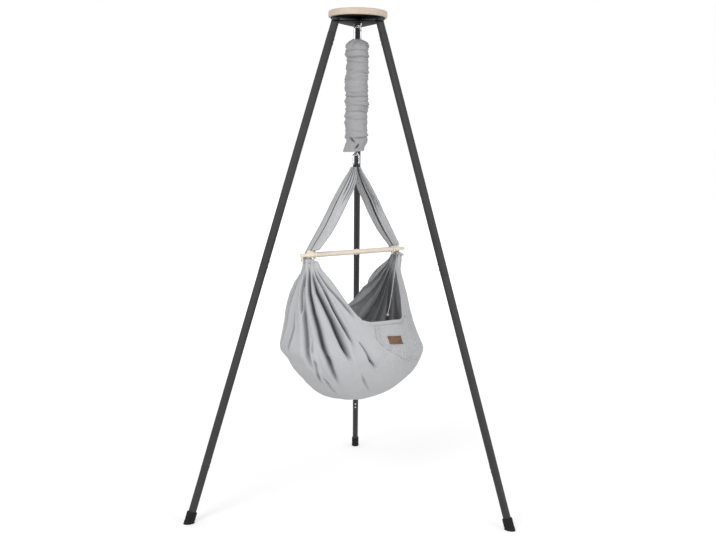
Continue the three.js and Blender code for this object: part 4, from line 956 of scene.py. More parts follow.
# Webbing loops. Two bands of black webbing hang on the small carabiner, and the
# two gathered ends of the cloth are sewn into them.
linkBottom = linkTop - linkLength
webbingInner, webbingThick, webbingHalf, webbingOffset = 0.0043, 0.002, 0.0046, 0.0053
loopTop = linkBottom + 0.0036
loopBottom = linkBottom - 0.0255 + webbingInner + webbingThick
for side, name in ((1, "right"), (-1, "left")):
    band = bmesh.new()
    reach = webbingInner + webbingThick / 2
    rings = []
    for middle, start in ((loopTop, 0), (loopBottom, math.pi)):
        for i in range(17):
            turn = start + math.pi * i / 16
            out = Vector((0, math.cos(turn), math.sin(turn)))
            centre = Vector((side * webbingOffset, 0, middle)) + out * reach
            rings.append(ring_through(band, [
                centre + out * a * webbingThick / 2 + Vector((b * webbingHalf, 0, 0))
                for a, b in ((-1, -1), (-1, 1), (1, 1), (1, -1))
            ]))
    skin(band, rings, loop=True)
    soften(band, 0.0006, 2, 1.0)
    as_piece(f"webbing_band_{name}", band, blackWebbing, "cradle", "black_webbing",
             f"webbing_loop_{name}", place=hanging)

# Spreader bar. A turned beech rod with thinner tips lies in front of the cloth,
# and a shaped cleat with a hole for the cord is glued on near each end.
barHeight, barHalf, barRadius, barTip, barTipLength = 0.982, 0.270, 0.010, 0.0065, 0.030
barMiddle = 0.1
cleatOffset, cleatHalf, cleatRise, cleatThick, cleatHole = 0.224, 0.013, 0.008, 0.009, 0.002
cleatSunk, cleatCorner = 0.003, 0.0045
# Painted light: the bar's beech is paler than the disc's to make up for the shade the bar lies in.
# The cleats and the bead use it too.
barTonesPaintedLighter = (250, 240, 223), (244, 229, 208), (229, 207, 182), (192, 158, 128)
barBeech = beech_finish("beech of the bar", -cradleTurn, barTonesPaintedLighter)
bar = bmesh.new()
spun(bar, [
    (0, -barHalf), (barTip, -barHalf), (barTip, barTipLength - barHalf),
    (barRadius, barTipLength - barHalf), (barRadius, -barMiddle), (barRadius, barMiddle),
    (barRadius, barHalf - barTipLength), (barTip, barHalf - barTipLength),
    (barTip, barHalf), (0, barHalf),
], ovalSteps)
soften(bar, 0.0018, 4)
lying = Matrix.Rotation(math.pi / 2, 3, "Y")
bmesh.ops.rotate(bar, cent=(0, 0, 0), matrix=lying, verts=bar.verts)
bmesh.ops.translate(bar, vec=(0, 0, barHeight), verts=bar.verts)
as_piece("spreader_bar_beech", bar, barBeech, "cradle", "beech", "spreader_bar", place=hanging)
barCrown = barHeight + barRadius
for side, name in ((1, "right"), (-1, "left")):
    cleat = block(
        (side * cleatOffset - cleatHalf, -cleatThick / 2, barCrown - cleatSunk),
        (side * cleatOffset + cleatHalf, cleatThick / 2, barCrown + cleatRise),
    )
    ridge = [
        e for e in cleat.edges if all(v.co.z > barCrown for v in e.verts)
        and abs(e.verts[0].co.x - e.verts[1].co.x) < 1e-6
    ]
    bmesh.ops.bevel(
        cleat, geom=ridge, offset=cleatCorner, offset_type="OFFSET", affect="EDGES",
        segments=6, profile=0.5, material=-1, clamp_overlap=True,
    )
    soften(cleat, 0.0008, 3, 0.9)
    drill = bmesh.new()
    spot = Matrix.Translation((side * cleatOffset, 0, barCrown + cleatRise / 2))
    bmesh.ops.create_cone(
        drill, cap_ends=True, segments=24, radius1=cleatHole, radius2=cleatHole, depth=0.03,
        matrix=spot @ Matrix.Rotation(math.pi / 2, 4, "X"),
    )
    cleat = carved(cleat, drill)
    as_piece(f"cleat_{name}_beech", cleat, barBeech, "cradle", "beech",
             place=hanging, sharpest=0.9)

# Cloth of the cradle's two gathered ends. Each runs in pleats from its webbing
# loop down behind the bar, where it is drawn together.
wingTop, wingBottom, wingOffset, wingDepth, wingWidth = 1.312, 0.962, 0.236, 0.020, 0.038
# Wings: share of the way down, and shares of their offset, depth and width there
wingShares = [
    (0, 0.04, 0.45, 0.34), (0.06, 0.062, 0.62, 0.52), (0.15, 0.13, 0.88, 0.8),
    (0.23, 0.2, 1, 0.92), (0.37, 0.345, 1, 1), (0.5, 0.462, 1, 1), (0.62, 0.585, 0.97, 0.99),
    (0.72, 0.7, 0.95, 0.95), (0.81, 0.815, 0.86, 0.84), (0.88, 0.9, 0.74, 0.73),
    (0.943, 0.966, 0.74, 0.68), (1, 1, 0.80, 0.72),
]
# Pleats: angle round the wing at its top and at the bar in degrees, depth share,
# half width in degrees, and the shares of the way down where each starts and ends
rightPleats = [
    (152, 150, 0.36, 22, 0, 1.1), (199, 170, 0.30, 5, 0, 0.8), (218, 190, 0.95, 7, 0, 1.1),
    (236, 214, 0.34, 5, 0, 0.55), (246, 238, 0.30, 5, 0, 0.45), (266, 262, 0.24, 5, 0, 0.52),
    (292, 291, 0.44, 4, 0, 1.1), (312, 306, 0.18, 6, 0, 1.1), (335, 335, 0.20, 7, 0, 0.6),
    (5, 0, 0.30, 7, 0, 1.1), (35, 30, 0.25, 7, 0, 0.7), (65, 70, 0.30, 7, 0, 1.1),
    (95, 95, 0.25, 7, 0, 0.6), (120, 118, 0.30, 7, 0, 1.1),
]
leftPleats = [
    (-33, -30, 0.42, 6, 0, 1.1), (-10, -14, 0.24, 5, 0, 0.5), (13, 10, 0.55, 4, 0, 1.1),
    (38, 28, 0.32, 5, 0, 0.36), (62, 54, 0.34, 5, 0, 0.42), (88, 82, 0.30, 5, 0, 0.36),
    (112, 118, 0.24, 5, 0, 0.5), (134, 140, 0.25, 7, 0, 1.1), (160, 165, 0.30, 7, 0, 1.1),
    (185, 185, 0.25, 7, 0, 0.7), (212, 208, 0.30, 7, 0, 1.1), (240, 244, 0.25, 7, 0, 0.8),
    (270, 272, 0.30, 7, 0, 1.1), (300, 298, 0.25, 7, 0, 0.7),
]
tieOffset, tieReach = 0.203, 0.0156


def behind_bar(x, y, z, side):
    """Holds the cloth back behind the bar, its cleat and its tie."""
    y = y * side
    reach = np.where(np.abs(x - tieOffset) < 0.006, tieReach, barRadius + 0.0006)
    up = z - barHeight
    clear = np.sqrt(np.clip(reach ** 2 - up ** 2, 0, None))
    beside = np.abs(x - cleatOffset) < cleatHalf + 0.002
    beside &= (up > 0) & (up < barRadius + cleatRise + 0.001)
    clear = np.where(beside, np.maximum(clear, cleatThick / 2 + 0.001), clear)
    near = smooth(np.abs(up), barRadius + 0.014, barRadius + 0.002)
    low = clear * (clear > 0) - 0.03 * (1 - near)
    return side * np.where(near > 0, np.maximum(y, low + 0.15 * (y - y.min()) * near), y)


def gathered(pleats, side):
    """The shape of one gathered end, from its own pleats, with shade painted into its narrow
    pleats.
    """
    def wing_at(turn, down):
        angle = turn * 2 * math.pi
        table = np.array(wingShares)
        offset, depth, width = (np.interp(down, table[:, 0], table[:, k]) for k in (1, 2, 3))
        reach = np.ones_like(down) * (1.03 + 0.05 * np.cos(2 * angle + 2 * down))
        pressed = np.zeros_like(down)
        for k, (first, last, share, half, start, end) in enumerate(pleats):
            bend = 3 * np.sin(5 * down + 1.7 * k)
            line = np.radians(first + (last - first) * smooth(down, 0, 1) + bend)
            begun = smooth(down, start - 0.08, start + 0.001)
            ended = smooth(down, end - 0.16, end + 0.04)
            deep = share * begun * (1 - ended) * (1 + 0.5 * dent(down, 0, 0.12))
            deep = deep * (0.85 + 0.15 * np.sin(9 * down + 2.1 * k))
            narrow = math.radians(half) * (1.25 - 0.35 * smooth(down, 0, 0.3))
            beside = np.abs(turned_to(angle, line))
            reach += deep * (0.20 * dent(beside, 2.0 * narrow, narrow) - dent(beside, 0, narrow))
            # Painted shade: the valleys of the narrow pleats darken the cloth's colour.
            pressed += deep * (half < 15) * dent(beside, 0, narrow)
        drawn = smooth(down, 0.80, 0.97) * 0.12 * np.sin(11 * angle + 2 * side)
        reach += drawn + 0.006 * np.sin(31 * angle + 5 * np.sin(4 * down))
        x = offset * wingOffset + depth * wingDepth * reach * np.cos(angle)
        y = width * wingWidth * reach * np.sin(angle)
        z = wingTop - down * (wingTop - wingBottom + 0.006)
        y = behind_bar(x, y, z, side)
        points = np.stack([np.maximum(x, 0.0005), y, z], 1)
        flat = np.stack([angle * wingClothRound, down * wingClothLength], 1)
        return points, flat, np.clip(pressed * 2.2, 0, 1)
    return wing_at


wingWall, wingGrid, wingClothRound, wingClothLength = 0.0010, (300, 150), 0.03, 0.42
cradleCloth = cloth_finish(
    "grey cotton of the cradle", linear(198, 199, 201), linear(181, 182, 185)
)
for side, name, pleats in ((1, "right", rightPleats), (-1, "left", leftPleats)):
    turned = hanging @ Matrix.Rotation(math.pi * (side < 0), 4, "Z")
    cloth = draped(*wingGrid, gathered(pleats, side))
    wing = as_cloth(f"wing_{name}_cloth", cloth, cradleCloth, "grey_cloth", wingWall, "cradle",
                    f"wing_{name}", place=turned)

# Cord ties. A white laid cord goes once round the bar at each gather and ends in
# a knot under it.
def laid_cord(bm, line, radius, lay=0.0085, loop=False):
    """Three strands wound round each other along a line."""
    turns, side = [], Vector((0.31, 0.22, 0.92))
    total = 0.0
    for i, point in enumerate(line):
        open_end = not loop and i == len(line) - 1
        before = line[i - 1] if loop or i else line[0]
        after = line[-1] if open_end else line[(i + 1) % len(line)]
        ahead = (after - before).normalized()
        side = (side - ahead * side.dot(ahead)).normalized()
        turns.append((side.copy(), ahead.cross(side), total))
        total += 0 if open_end else (after - point).length
    whole = max(1, round(total / lay)) if loop else total / lay
    for strand in range(3):
        path = []
        for point, (side, other, place) in zip(line, turns):
            turn = 2 * math.pi * (strand / 3 + whole * place / total)
            around = side * math.cos(turn) + other * math.sin(turn)
            path.append(point + around * radius * strandOut)
        wire(bm, path, radius * strandShare, 8, loop)


def cord_finish(name):
    finish = Finish(name, Sheen_Weight=0.2, Specular_IOR_Level=0.25)
    place = finish.place()
    fibre = finish.noise(place, 1500.0, 2.0)
    soil = finish.noise(place, 120.0, 3.0).above(0.5, 0.85)
    finish.set(Base_Color=finish.mix(soil * 0.5, linear(250, 250, 247), linear(232, 229, 221)))
    return finish.set(Roughness=0.75 + 0.2 * fibre, Normal=finish.relief(fibre, 0.0002, 0.7))


whiteCord = cord_finish("white cotton cord")
strandOut, strandShare = 0.46, 0.54
tieRing, tieCord, tieLay = 0.0128, 0.0021, 0.006
knotReach, knotFlat, knotBelow, knotRise, knotCord = 0.00105, 0.8, 0.0028, 0.0016, 0.0013
tieSteps = 96
for side, name in ((1, "right"), (-1, "left")):
    tie = bmesh.new()
    ring = circle(tieRing, barHeight, tieSteps, side * tieOffset)
    laid_cord(tie, ring, tieCord, tieLay, loop=True)
    knot = []
    for t in (2 * math.pi * i / tieSteps for i in range(tieSteps)):
        knot.append(Vector((
            side * tieOffset + knotReach * (math.sin(t) + 2 * math.sin(2 * t)),
            knotReach * (math.cos(t) - 2 * math.cos(2 * t)) * knotFlat,
            barHeight - tieRing - knotBelow + knotRise * math.sin(3 * t),
        )))
    wire(tie, knot, knotCord, 10, loop=True)
    as_piece(f"tie_{name}_cord", tie, whiteCord, "cradle", "white_cord", f"bar_tie_{name}",
             place=hanging, sharpest=1.2)

# Cloth bag. One wide piece of grey cotton hangs between the two gathers like a
# sack, a little lower at its right end. Long folds run down from the gathers,
# and a turned and sewn hem runs round its mouth.
bagTop, bagDepth, bagHalfLength, bagHalfWidth = 0.9617, 0.5657, 0.328, 0.215
bagLean = 0.016
bunchMiddle, bunchHalf, bunchRise = 0.218, 35, 0.008
# Profile: shares of the bag's depth, half length and half width
bagShares = [
    (0, 0.72, 0.11), (0.04, 0.745, 0.28), (0.11, 0.78, 0.465), (0.18, 0.82, 0.61),
    (0.34, 0.885, 0.77), (0.46, 0.925, 0.86), (0.55, 0.965, 0.94), (0.63, 1, 1),
    (0.69, 0.985, 0.975), (0.76, 0.92, 0.9), (0.83, 0.81, 0.78), (0.89, 0.675, 0.635),
    (0.94, 0.52, 0.475), (0.975, 0.34, 0.3), (1, 0.1, 0.09), (1, 0, 0),
]
# Hem: degrees round the bag, and how far it lies below the gathers in millimetres
hemDrops = [
    (0, 0), (8, 1), (16, 3), (26, 8), (33, 24), (38.6, 44), (46.5, 88), (54.5, 141), (62, 190),
    (68, 216), (78, 232), (90, 236), (102, 232), (112, 216), (118, 190), (125.5, 141),
    (133.5, 88), (141.4, 44), (147, 24), (154, 8), (164, 3), (172, 1), (180, 0), (188, 1),
    (200, 3), (213, 7), (221, 42), (227.8, 81), (233.4, 116), (238.5, 153), (243.8, 187),
    (249.6, 217), (256.5, 227), (268, 229), (280, 231), (290, 235), (294.5, 231), (298.5, 194),
    (302, 154), (306, 112), (312, 76), (319, 42), (327, 10), (336, 4), (348, 2), (360, 0),
]
# How far the bag is drawn in on two sides: the way round it in degrees, and pairs
# of a depth in metres and a share
bagDrawnIn = [
    (149, [
        (0, 0), (0.33, 0), (0.36, 0.025), (0.39, 0.087), (0.43, 0.10), (0.47, 0.13),
        (0.503, 0.12), (0.53, 0.09), (0.55, 0.05), (0.566, 0),
    ]),
    (329, [
        (0, 0), (0.03, 0.03), (0.06, 0.07), (0.10, 0.085), (0.19, 0.075), (0.24, 0.055),
        (0.31, 0.03), (0.36, 0), (0.566, 0),
    ]),
]
sized = [
    Vector((deep * bagDepth, long * bagHalfLength, wide * bagHalfWidth))
    for deep, long, wide in bagShares
]
profileStep = 0.002
profile = np.array([tuple(point) for point in drawn_through(sized, profileStep)])
bagSpan = np.linspace(0, 1, len(profile))
bagReach = (len(profile) - 1) * profileStep
# The hem's corners are rounded by a short running mean round the whole mouth
hemSteps = 1440
hemAngles = np.linspace(0, 360, hemSteps + 1)
hemLevels = np.interp(hemAngles, *np.array(hemDrops).T)
rounding = np.hanning(25) / np.hanning(25).sum()
hemLevels = np.convolve(np.tile(hemLevels[:-1], 3), rounding, "same")[hemSteps:2 * hemSteps + 1]


def hem_height(angle):
    return bagTop - 0.001 * np.interp(np.degrees(angle) % 360, hemAngles, hemLevels)


def bag_form(angle, span):
    """The bag's face without its folds, at an angle round it and a share of its profile."""
    drop, long, wide = (np.interp(span, bagSpan, profile[:, k]) for k in range(3))
    x = long * np.cos(angle) * (1 - 0.035 * np.cos(angle) * dent(drop, 0.13, 0.12))
    y = wide * np.sin(angle)
    for way, depths in bagDrawnIn:
        towards = np.clip(np.cos(angle - math.radians(way)), 0, 1) ** 1.5
        held = 1 - np.interp(drop, *np.array(depths).T) * towards
        x, y = x * held, y * held
    z = bagTop - drop - bagLean * x / bagHalfLength * smooth(drop, 0.03, 0.30)
    return np.stack([x, y, z], -1)


def span_at(angle, height):
    """Where on its profile the bag's face reaches a height."""
    drop = bagTop - height
    for _ in range(4):
        span = np.interp(drop, profile[:, 0], bagSpan)
        drop = drop + bag_form(angle, span)[..., 2] - height
    return np.interp(drop, profile[:, 0], bagSpan)


def on_face(route):
    """Points on the bag's face from degrees round it and heights in millimetres."""
    angles, heights = np.array(route).T
    angles, heights = np.radians(angles), heights / 1000
    return bag_form(angles, span_at(angles, heights))


def run_from(side, spread, end):
    """A fold's route straight down from one gather, at a spread in degrees to the back."""
    heights = np.linspace(0.948, end / 1000, 9)
    away = math.tan(math.radians(spread)) * (0.974 - heights)
    wide = np.interp(np.interp(bagTop - heights, profile[:, 0], bagSpan), bagSpan, profile[:, 2])
    turn = np.degrees(np.arcsin(np.clip(away / wide, -0.99, 0.99)))
    return [(t if side > 0 else 180 - t, 1000 * h) for t, h in zip(turn, heights)]


# Folds: depths and half widths in millimetres, the share of a fold in which it
# reaches its depth, and routes in degrees round the bag and millimetres of height
bagFolds = [(deep, half, 0.35, on_face(route)) for deep, half, route in [
    (11, 6.0, [(166, 938), (167, 860), (166, 818), (164, 750), (163, 680)]),
    (13, 3.6, [(184, 935), (188, 848), (191, 794), (192, 760)]),
    (8, 5.0, [(181, 798), (182, 715), (179, 640), (178, 600)]),
    (14, 8.5, [(186, 935), (189, 882), (197, 747), (201, 663), (203, 613), (206, 540)]),
    (26, 7.5, [
        (190, 940), (195, 923), (201, 843), (207, 776), (212, 718), (216, 661), (221, 605),
        (225, 536), (228, 478),
    ]),
    (27, 8.0, [
        (196, 942), (205, 890), (210, 850), (217, 806), (224, 748), (228, 704), (232, 660),
        (236, 619), (243, 545),
    ]),
    (19, 4.8, [
        (200, 944), (210, 897), (220, 836), (226, 785), (232, 734), (237, 689), (243, 640),
    ]),
    (10, 3.2, [(205, 948), (212, 913), (222, 866), (232, 821), (240, 776), (246, 735)]),
    (8, 4.5, [(206, 690), (207, 640), (209, 586), (208, 528), (209, 490)]),
    (6, 4.5, [(212, 560), (216, 498), (219, 440)]),
    (5, 4.0, [(246, 554), (251, 506), (262, 450)]),
]]
bagFolds += [(15, 3.8, 0.10, on_face([(245, 668), (250, 626), (253, 594), (260, 552)]))]
# Folds straight down from the gathers: side, spread, lower end, depth and width
straightFolds = [
    (1, -4, 700, 11, 5), (1, -11, 640, 13, 5), (1, -19, 740, 7, 4), (1, 2, 600, 17, 6),
    (1, 7, 560, 22, 7), (1, 12, 620, 14, 5), (1, 17, 580, 24, 8), (1, 23, 600, 15, 5),
    (1, 28, 640, 22, 7), (1, 34, 720, 13, 5), (1, 39, 790, 9, 4), (-1, 10, 560, 20, 7),
    (-1, 16, 640, 13, 5), (-1, 22, 600, 21, 7), (-1, 28, 680, 14, 5), (-1, 34, 720, 12, 5),
    (-1, 39, 790, 8, 4),
]
bagFolds += [
    (deep, half, 0.35, on_face(run_from(side, spread, end)))
    for side, spread, end, deep, half in straightFolds
]


deepest = 0.050


def folded_in(points):
    """How deep the folds press into the cloth, which swells a little beside each."""
    pressed = np.zeros(len(points))
    for deep, half, start, line in bagFolds:
        nearest, along = np.full(len(points), 1e9), np.zeros(len(points))
        for i, (a, b) in enumerate(zip(line, line[1:])):
            t = np.clip(((points - a) @ (b - a)) / ((b - a) @ (b - a)), 0, 1)
            far = np.linalg.norm(points - a - t[:, None] * (b - a), axis=1)
            along = np.where(far < nearest, (i + t) / (len(line) - 1), along)
            nearest = np.minimum(far, nearest)
        fade = smooth(along, -0.02, start) ** 0.7 * (1 - smooth(along, 0.72, 1.0))
        width = 0.001 * half * (0.42 + 0.58 * smooth(along, 0, 0.6))
        width = width * (1 - 0.35 * smooth(along, 0.75, 1))
        swell = 0.16 * dent(nearest, 2.7 * width, 1.5 * width)
        pressed += 0.0018 * deep * fade * (dent(nearest, 0, width) - swell)
    return np.where(pressed > 0, deepest * np.tanh(pressed / deepest), pressed)


def uneven(here, angle, drop):
    """Soft waves all over, puckers under the hem and crumples round the label."""
    x, y, z = here[:, 0], here[:, 1], here[:, 2]
    soft = 0.0016 * np.sin(x * 31 + z * 17) * np.sin(y * 23 - z * 29 + 1)
    soft += 0.0007 * np.sin(x * 77 - z * 61 + 2) * np.sin(y * 83 + z * 47)
    under_hem = np.clip(hem_height(angle) - z, 0, 1)
    level = smooth(np.sin(angle), -0.80, -0.97)
    pucker = np.sin(x * 460 + 2.2 * np.sin(x * 95)) * np.exp(-under_hem / 0.022)
    pucker *= 0.55 + 0.45 * np.sin(x * 61 + 1.5 * np.sin(x * 37))
    soft += (0.0005 + 0.0011 * level) * pucker * smooth(drop, 0.05, 0.15)
    round_label = dent(z, 0.590, 0.050) * dent(turned_to(angle, math.radians(289)), 0, 0.42)
    crumple = np.sin(190 * x + 120 * z + 3 * np.sin(55 * x - 70 * z))
    crumple += 0.8 * np.sin(260 * z - 60 * x + 3 * np.sin(70 * x + 40 * z))
    crumple += 0.5 * np.sin(330 * x - 170 * z + 3 * np.sin(95 * z))
    return soft + 0.0014 * round_label * crumple


def bunched(placed, angle, drop, height, out):
    """Draws the top of the cloth together into a bunch of small pleats at each gather."""
    side = np.where(np.cos(angle) > 0, 1.0, -1.0)
    turn = np.where(side > 0, turned_to(angle, 0), -turned_to(angle, math.pi))
    turn = np.degrees(turn) / bunchHalf
    reach = np.where(side < 0, 0.030 + 0.28 * drop, 0.023 + 0.24 * drop)
    reach = reach * (1 + 0.13 * np.sin(16 * turn + 2 * side)) + out
    x = side * (bunchMiddle + reach * np.cos(1.75 * turn))
    bunch = np.stack([x, reach * np.sin(1.75 * turn), height + bunchRise], 1)
    near = 0.95 * (1 - smooth(drop, 0.0, 0.075)) * (np.abs(turn) < 2)
    return placed + (bunch - placed) * near[:, None]


def bag_face(angle, span, out=0.0, pressed=None):
    """Points of the bag's face with all its folds, moved outwards by a distance."""
    here, small = bag_form(angle, span), 1e-3
    pressed = folded_in(here) if pressed is None else pressed
    round_it = bag_form(angle + small, span) - bag_form(angle - small, span)
    down_it = bag_form(angle, np.minimum(span + small, 1))
    down_it = down_it - bag_form(angle, np.maximum(span - small, 0))
    normal = np.cross(down_it, round_it)
    length = np.linalg.norm(normal, axis=1, keepdims=True)
    straight_down = np.array([0, 0, -1.0])
    normal = np.where(length > 1e-12, normal / np.maximum(length, 1e-12), straight_down)
    drop = bagTop - here[:, 2]
    bottom = smooth(span, 0.93, 0.995)
    move = out + (uneven(here, angle, drop) - pressed) * (1 - bottom)
    return bunched(here + normal * move[:, None], angle, drop, here[:, 2], out)


# Hem: its width and thickness, the rows of the grid inside it, and those of its
# outside, which are closer together than the rows below it
hemWide, hemThick = 0.016, 0.0011
hemRows, hemRowStep, edgeRows, edgeRowStep, bagColumns, bagRows = 3, 0.0052, 10, 0.002, 500, 184
# The fold depth at which the shade painted into the bag's folds is darkest, and metres of cloth per
# radian
paintedShadeFoldDepth, bagClothRound = 0.028, 0.26


def bag_at(turn, down):
    """The bag from the sewn edge inside its hem, over the hem's fold and down to its bottom."""
    angle = turn * 2 * math.pi
    start = span_at(angle, hem_height(angle))
    reach = (1 - start) * bagReach
    row = np.rint(down * bagRows) - hemRows
    edge = edgeRowStep * edgeRows
    deeper = edge + (reach - edge) * (row - edgeRows) / (bagRows - hemRows - edgeRows)
    outside = np.where(row < edgeRows, row * edgeRowStep, deeper)
    away = np.where(row < 0, -row * hemRowStep, outside)
    raised = hemThick * smooth(away, hemWide, hemWide - 0.0025) * np.clip(row, 0, 1)
    span = start + away / bagReach
    pressed = folded_in(bag_form(angle, span))
    points = bag_face(angle, span, np.where(row < 0, -hemThick, raised), pressed)
    flat = np.stack([angle * bagClothRound, np.where(row < 0, -away, away)], 1)
    # Painted shade: the cloth's colour darkens with the depth of its folds.
    return points, flat, np.clip(pressed / paintedShadeFoldDepth, 0, 1) ** 1.25


def sewn(bm, points, pitch=0.0042, share=0.62, thick=0.0004):
    """A row of stitches along a line of points."""
    points = [Vector(point) for point in points]
    far = np.concatenate([[0], np.cumsum([(b - a).length for a, b in zip(points, points[1:])])])

    def at(place):
        return Vector([np.interp(place, far, [point[k] for point in points]) for k in range(3)])

    for k in range(int(far[-1] / pitch)):
        first, last = at(k * pitch), at((k + share) * pitch)
        wire(bm, [first, (first + last) / 2, last], [thick * 0.6, thick, thick * 0.6], 5)


bag = as_piece("bag_cloth", draped(bagColumns, bagRows, bag_at), cradleCloth, "cradle",
               "grey_cloth", "bag", place=hanging, sharpest=math.pi)
thread = Finish("grey sewing thread", Specular_IOR_Level=0.3)
fibre = thread.noise(thread.place(), 3000.0, 2.0)
thread.set(Base_Color=thread.mix(fibre, linear(206, 206, 208), linear(188, 188, 190)))
thread.set(Roughness=0.7 + 0.2 * fibre)
stitches = bmesh.new()
seamBelow, seamInside, seamOutside = 0.0135, -0.0017, 0.0015
hemTurn = np.radians(np.linspace(28, 152, 400))
for front, out in ((0, seamInside), (0, seamOutside), (math.pi, seamOutside)):
    angle = hemTurn + front
    sewn(stitches, bag_face(angle, span_at(angle, hem_height(angle)) + seamBelow / bagReach, out))
as_piece("hem_stitches", stitches, thread, "cradle", "grey_cloth",
         place=hanging, sharpest=math.pi)

# Sewn patch. It is a second layer of the bag's front that starts under the hem
# and has a curved lower edge, puckered along its two rows of stitches.
patchSpan, patchTop, patchBottom, patchRise, patchCurve = (260, 306), 0.729, 0.560, 0.105, 2.2
patchWide, patchHigh, patchWall, patchGrid = 0.25, 0.16, 0.0010, (170, 96)
patchSeams, underHem, seamOver = (0.0030, 0.0095), 0.0165, 0.0030


def patch_spot(along, down):
    """A spot on the patch as an angle round the bag and a place on its profile."""
    angle = np.radians(patchSpan[0] + (patchSpan[1] - patchSpan[0]) * along)
    top = np.minimum(hem_height(angle) - underHem, patchTop)
    bottom = patchBottom + patchRise * (1 - along) ** patchCurve
    return angle, span_at(angle, top + (bottom - top) * down)


def patch_at(along, down):
    """The patch's face, raised off the bag and uneven near its edge."""
    angle, span = patch_spot(along, down)
    edge = np.minimum(np.minimum(along, 1 - along) * patchWide, (1 - down) * patchHigh)
    pucker = np.sin(along * 118 + 5 * np.sin(along * 19)) * dent(edge, 0.009, 0.011)
    pucker += 0.6 * np.sin(down * 70 + along * 31) * dent(edge, 0.020, 0.018)
    crumple = 0.0009 * np.sin(along * 41 + down * 13) * np.sin(down * 37 - along * 17)
    uneven_by = np.clip(0.0022 * pucker + crumple, -0.0010, 0.005)
    out = 0.0016 + 0.0008 * smooth(edge, 0.0, 0.005) + uneven_by
    flat = np.stack([angle * bagClothRound, down * patchHigh], 1)
    return bag_face(angle, span, out), flat


patch = as_cloth("patch_cloth", draped(*patchGrid, patch_at, wrap=False), cradleCloth,
                 "grey_cloth", patchWall, "cradle", "pocket", place=hanging)
stitches = bmesh.new()
share = np.linspace(0.0, 1.0, 300)
for inset in patchSeams:
    side, low = inset / patchWide, 1 - inset / patchHigh
    rim = [(side, t * low) for t in share] + [(side + t * (1 - 2 * side), low) for t in share]
    angle, span = patch_spot(*np.array(rim).T)
    sewn(stitches, bag_face(angle, span, seamOver))
as_piece("patch_stitches", stitches, thread, "cradle", "grey_cloth",
         place=hanging, sharpest=math.pi)

# Leather label. A bare strip of brown leather lies a little askew on the patch
# and is sewn on with a row of stitches at each end.
leather = Finish("brown leather", Specular_IOR_Level=0.35)
hide = leather.noise(leather.place(), 520.0, 4.0, 0.6)
tone = leather.noise(leather.place(), 45.0, 3.0)
pores = leather.node("TexVoronoi", None, Vector=leather.place(), Scale=900.0)
tanned = leather.mix(tone.above(0.35, 0.7), linear(127, 94, 73), linear(103, 72, 53))
leather.set(Base_Color=leather.mix(hide.above(0.5, 0.8) * 0.4, tanned, linear(88, 60, 44)))
leather.set(Roughness=0.48 + 0.25 * hide, Normal=leather.relief(pores * 0.6 + hide, 0.0003, 0.5))
labelWidth, labelHeight, labelMiddle, labelTurn, labelThick = 0.077, 0.030, 0.656, 277, 0.0016
labelSlant, labelFall, labelOut, labelGrid = 0.14, 0.10, 0.0062, (62, 27)
labelSeam, labelSeamHalf, labelSeamOut, labelPitch = 0.0350, 0.0120, 0.0065, 0.0035


def label_spot(x, y):
    """A spot from the label's middle as an angle round the bag and a place on its profile."""
    angle = math.radians(labelTurn) + (x - labelSlant * y) / bagHalfLength
    return angle, span_at(angle, labelMiddle + y - labelFall * x)


def label_at(along, down):
    """The label's face, with corners that curl up a little."""
    x, y = (along - 0.5) * labelWidth, (0.5 - down) * labelHeight
    angle, span = label_spot(x, y)
    corner = np.abs(np.abs(x) - labelWidth / 2) + np.abs(np.abs(y) - labelHeight / 2)
    curl = 0.0006 * smooth(corner, 0.007, 0.0)
    return bag_face(angle, span, labelOut + curl), np.stack([x, y], 1)


as_cloth("label_leather", draped(*labelGrid, label_at, wrap=False), leather, "leather_label",
         labelThick, "cradle", "label", place=hanging)
stitches = bmesh.new()
rise = np.linspace(-labelSeamHalf, labelSeamHalf, 34)
for end in (-1, 1):
    seam = label_spot(np.full(34, end * labelSeam), rise)
    sewn(stitches, bag_face(*seam, labelSeamOut), labelPitch)
as_piece("label_stitches", stitches, thread, "cradle", "grey_cloth",
         place=hanging, sharpest=math.pi)

# Mattress. An oval pad of white cotton lies on the bottom of the bag, held in by
# the cloth, with a soft crowned edge and a dished, lightly quilted top.
padTop, padEdge, padDish, padLift, padGrid = 0.492, 0.006, 0.045, 0.0055, (160, 70)
padWithin = np.array([0.975, 0.965, 1])
padCloth = cloth_finish(
    "white cotton of the mattress", linear(226, 226, 224), linear(210, 210, 208)
)


def pad_at(turn, down):
    """The pad, along the bag's bottom to its edge and back over its dished top."""
    angle = turn * 2 * math.pi
    edge_span = np.interp(bagTop - padTop, profile[:, 0], bagSpan)
    under = 1 - (1 - edge_span) * np.clip(down * 2, 0, 1)
    low = bag_form(angle, under) * padWithin + np.array([0, 0, padLift])
    edge = bag_form(angle, np.full_like(angle, edge_span)) * padWithin
    share = np.clip(2 - down * 2, 0, 1)
    top = edge * np.stack([share, share, np.ones_like(share)], 1)
    quilt = 0.0012 * np.sin(edge[:, 0] * share * 70) * np.sin(edge[:, 1] * share * 70)
    top[:, 2] += -padDish * (1 - share ** 2) + padEdge * np.sin(share * math.pi) + quilt
    points = np.where((down < 0.5)[:, None], low, top)
    return points, np.stack([points[:, 0], points[:, 1]], 1)


pad = as_piece("mattress_pad", draped(*padGrid, pad_at), padCloth, "cradle", "mattress_cover",
               "mattress", place=hanging, sharpest=math.pi)

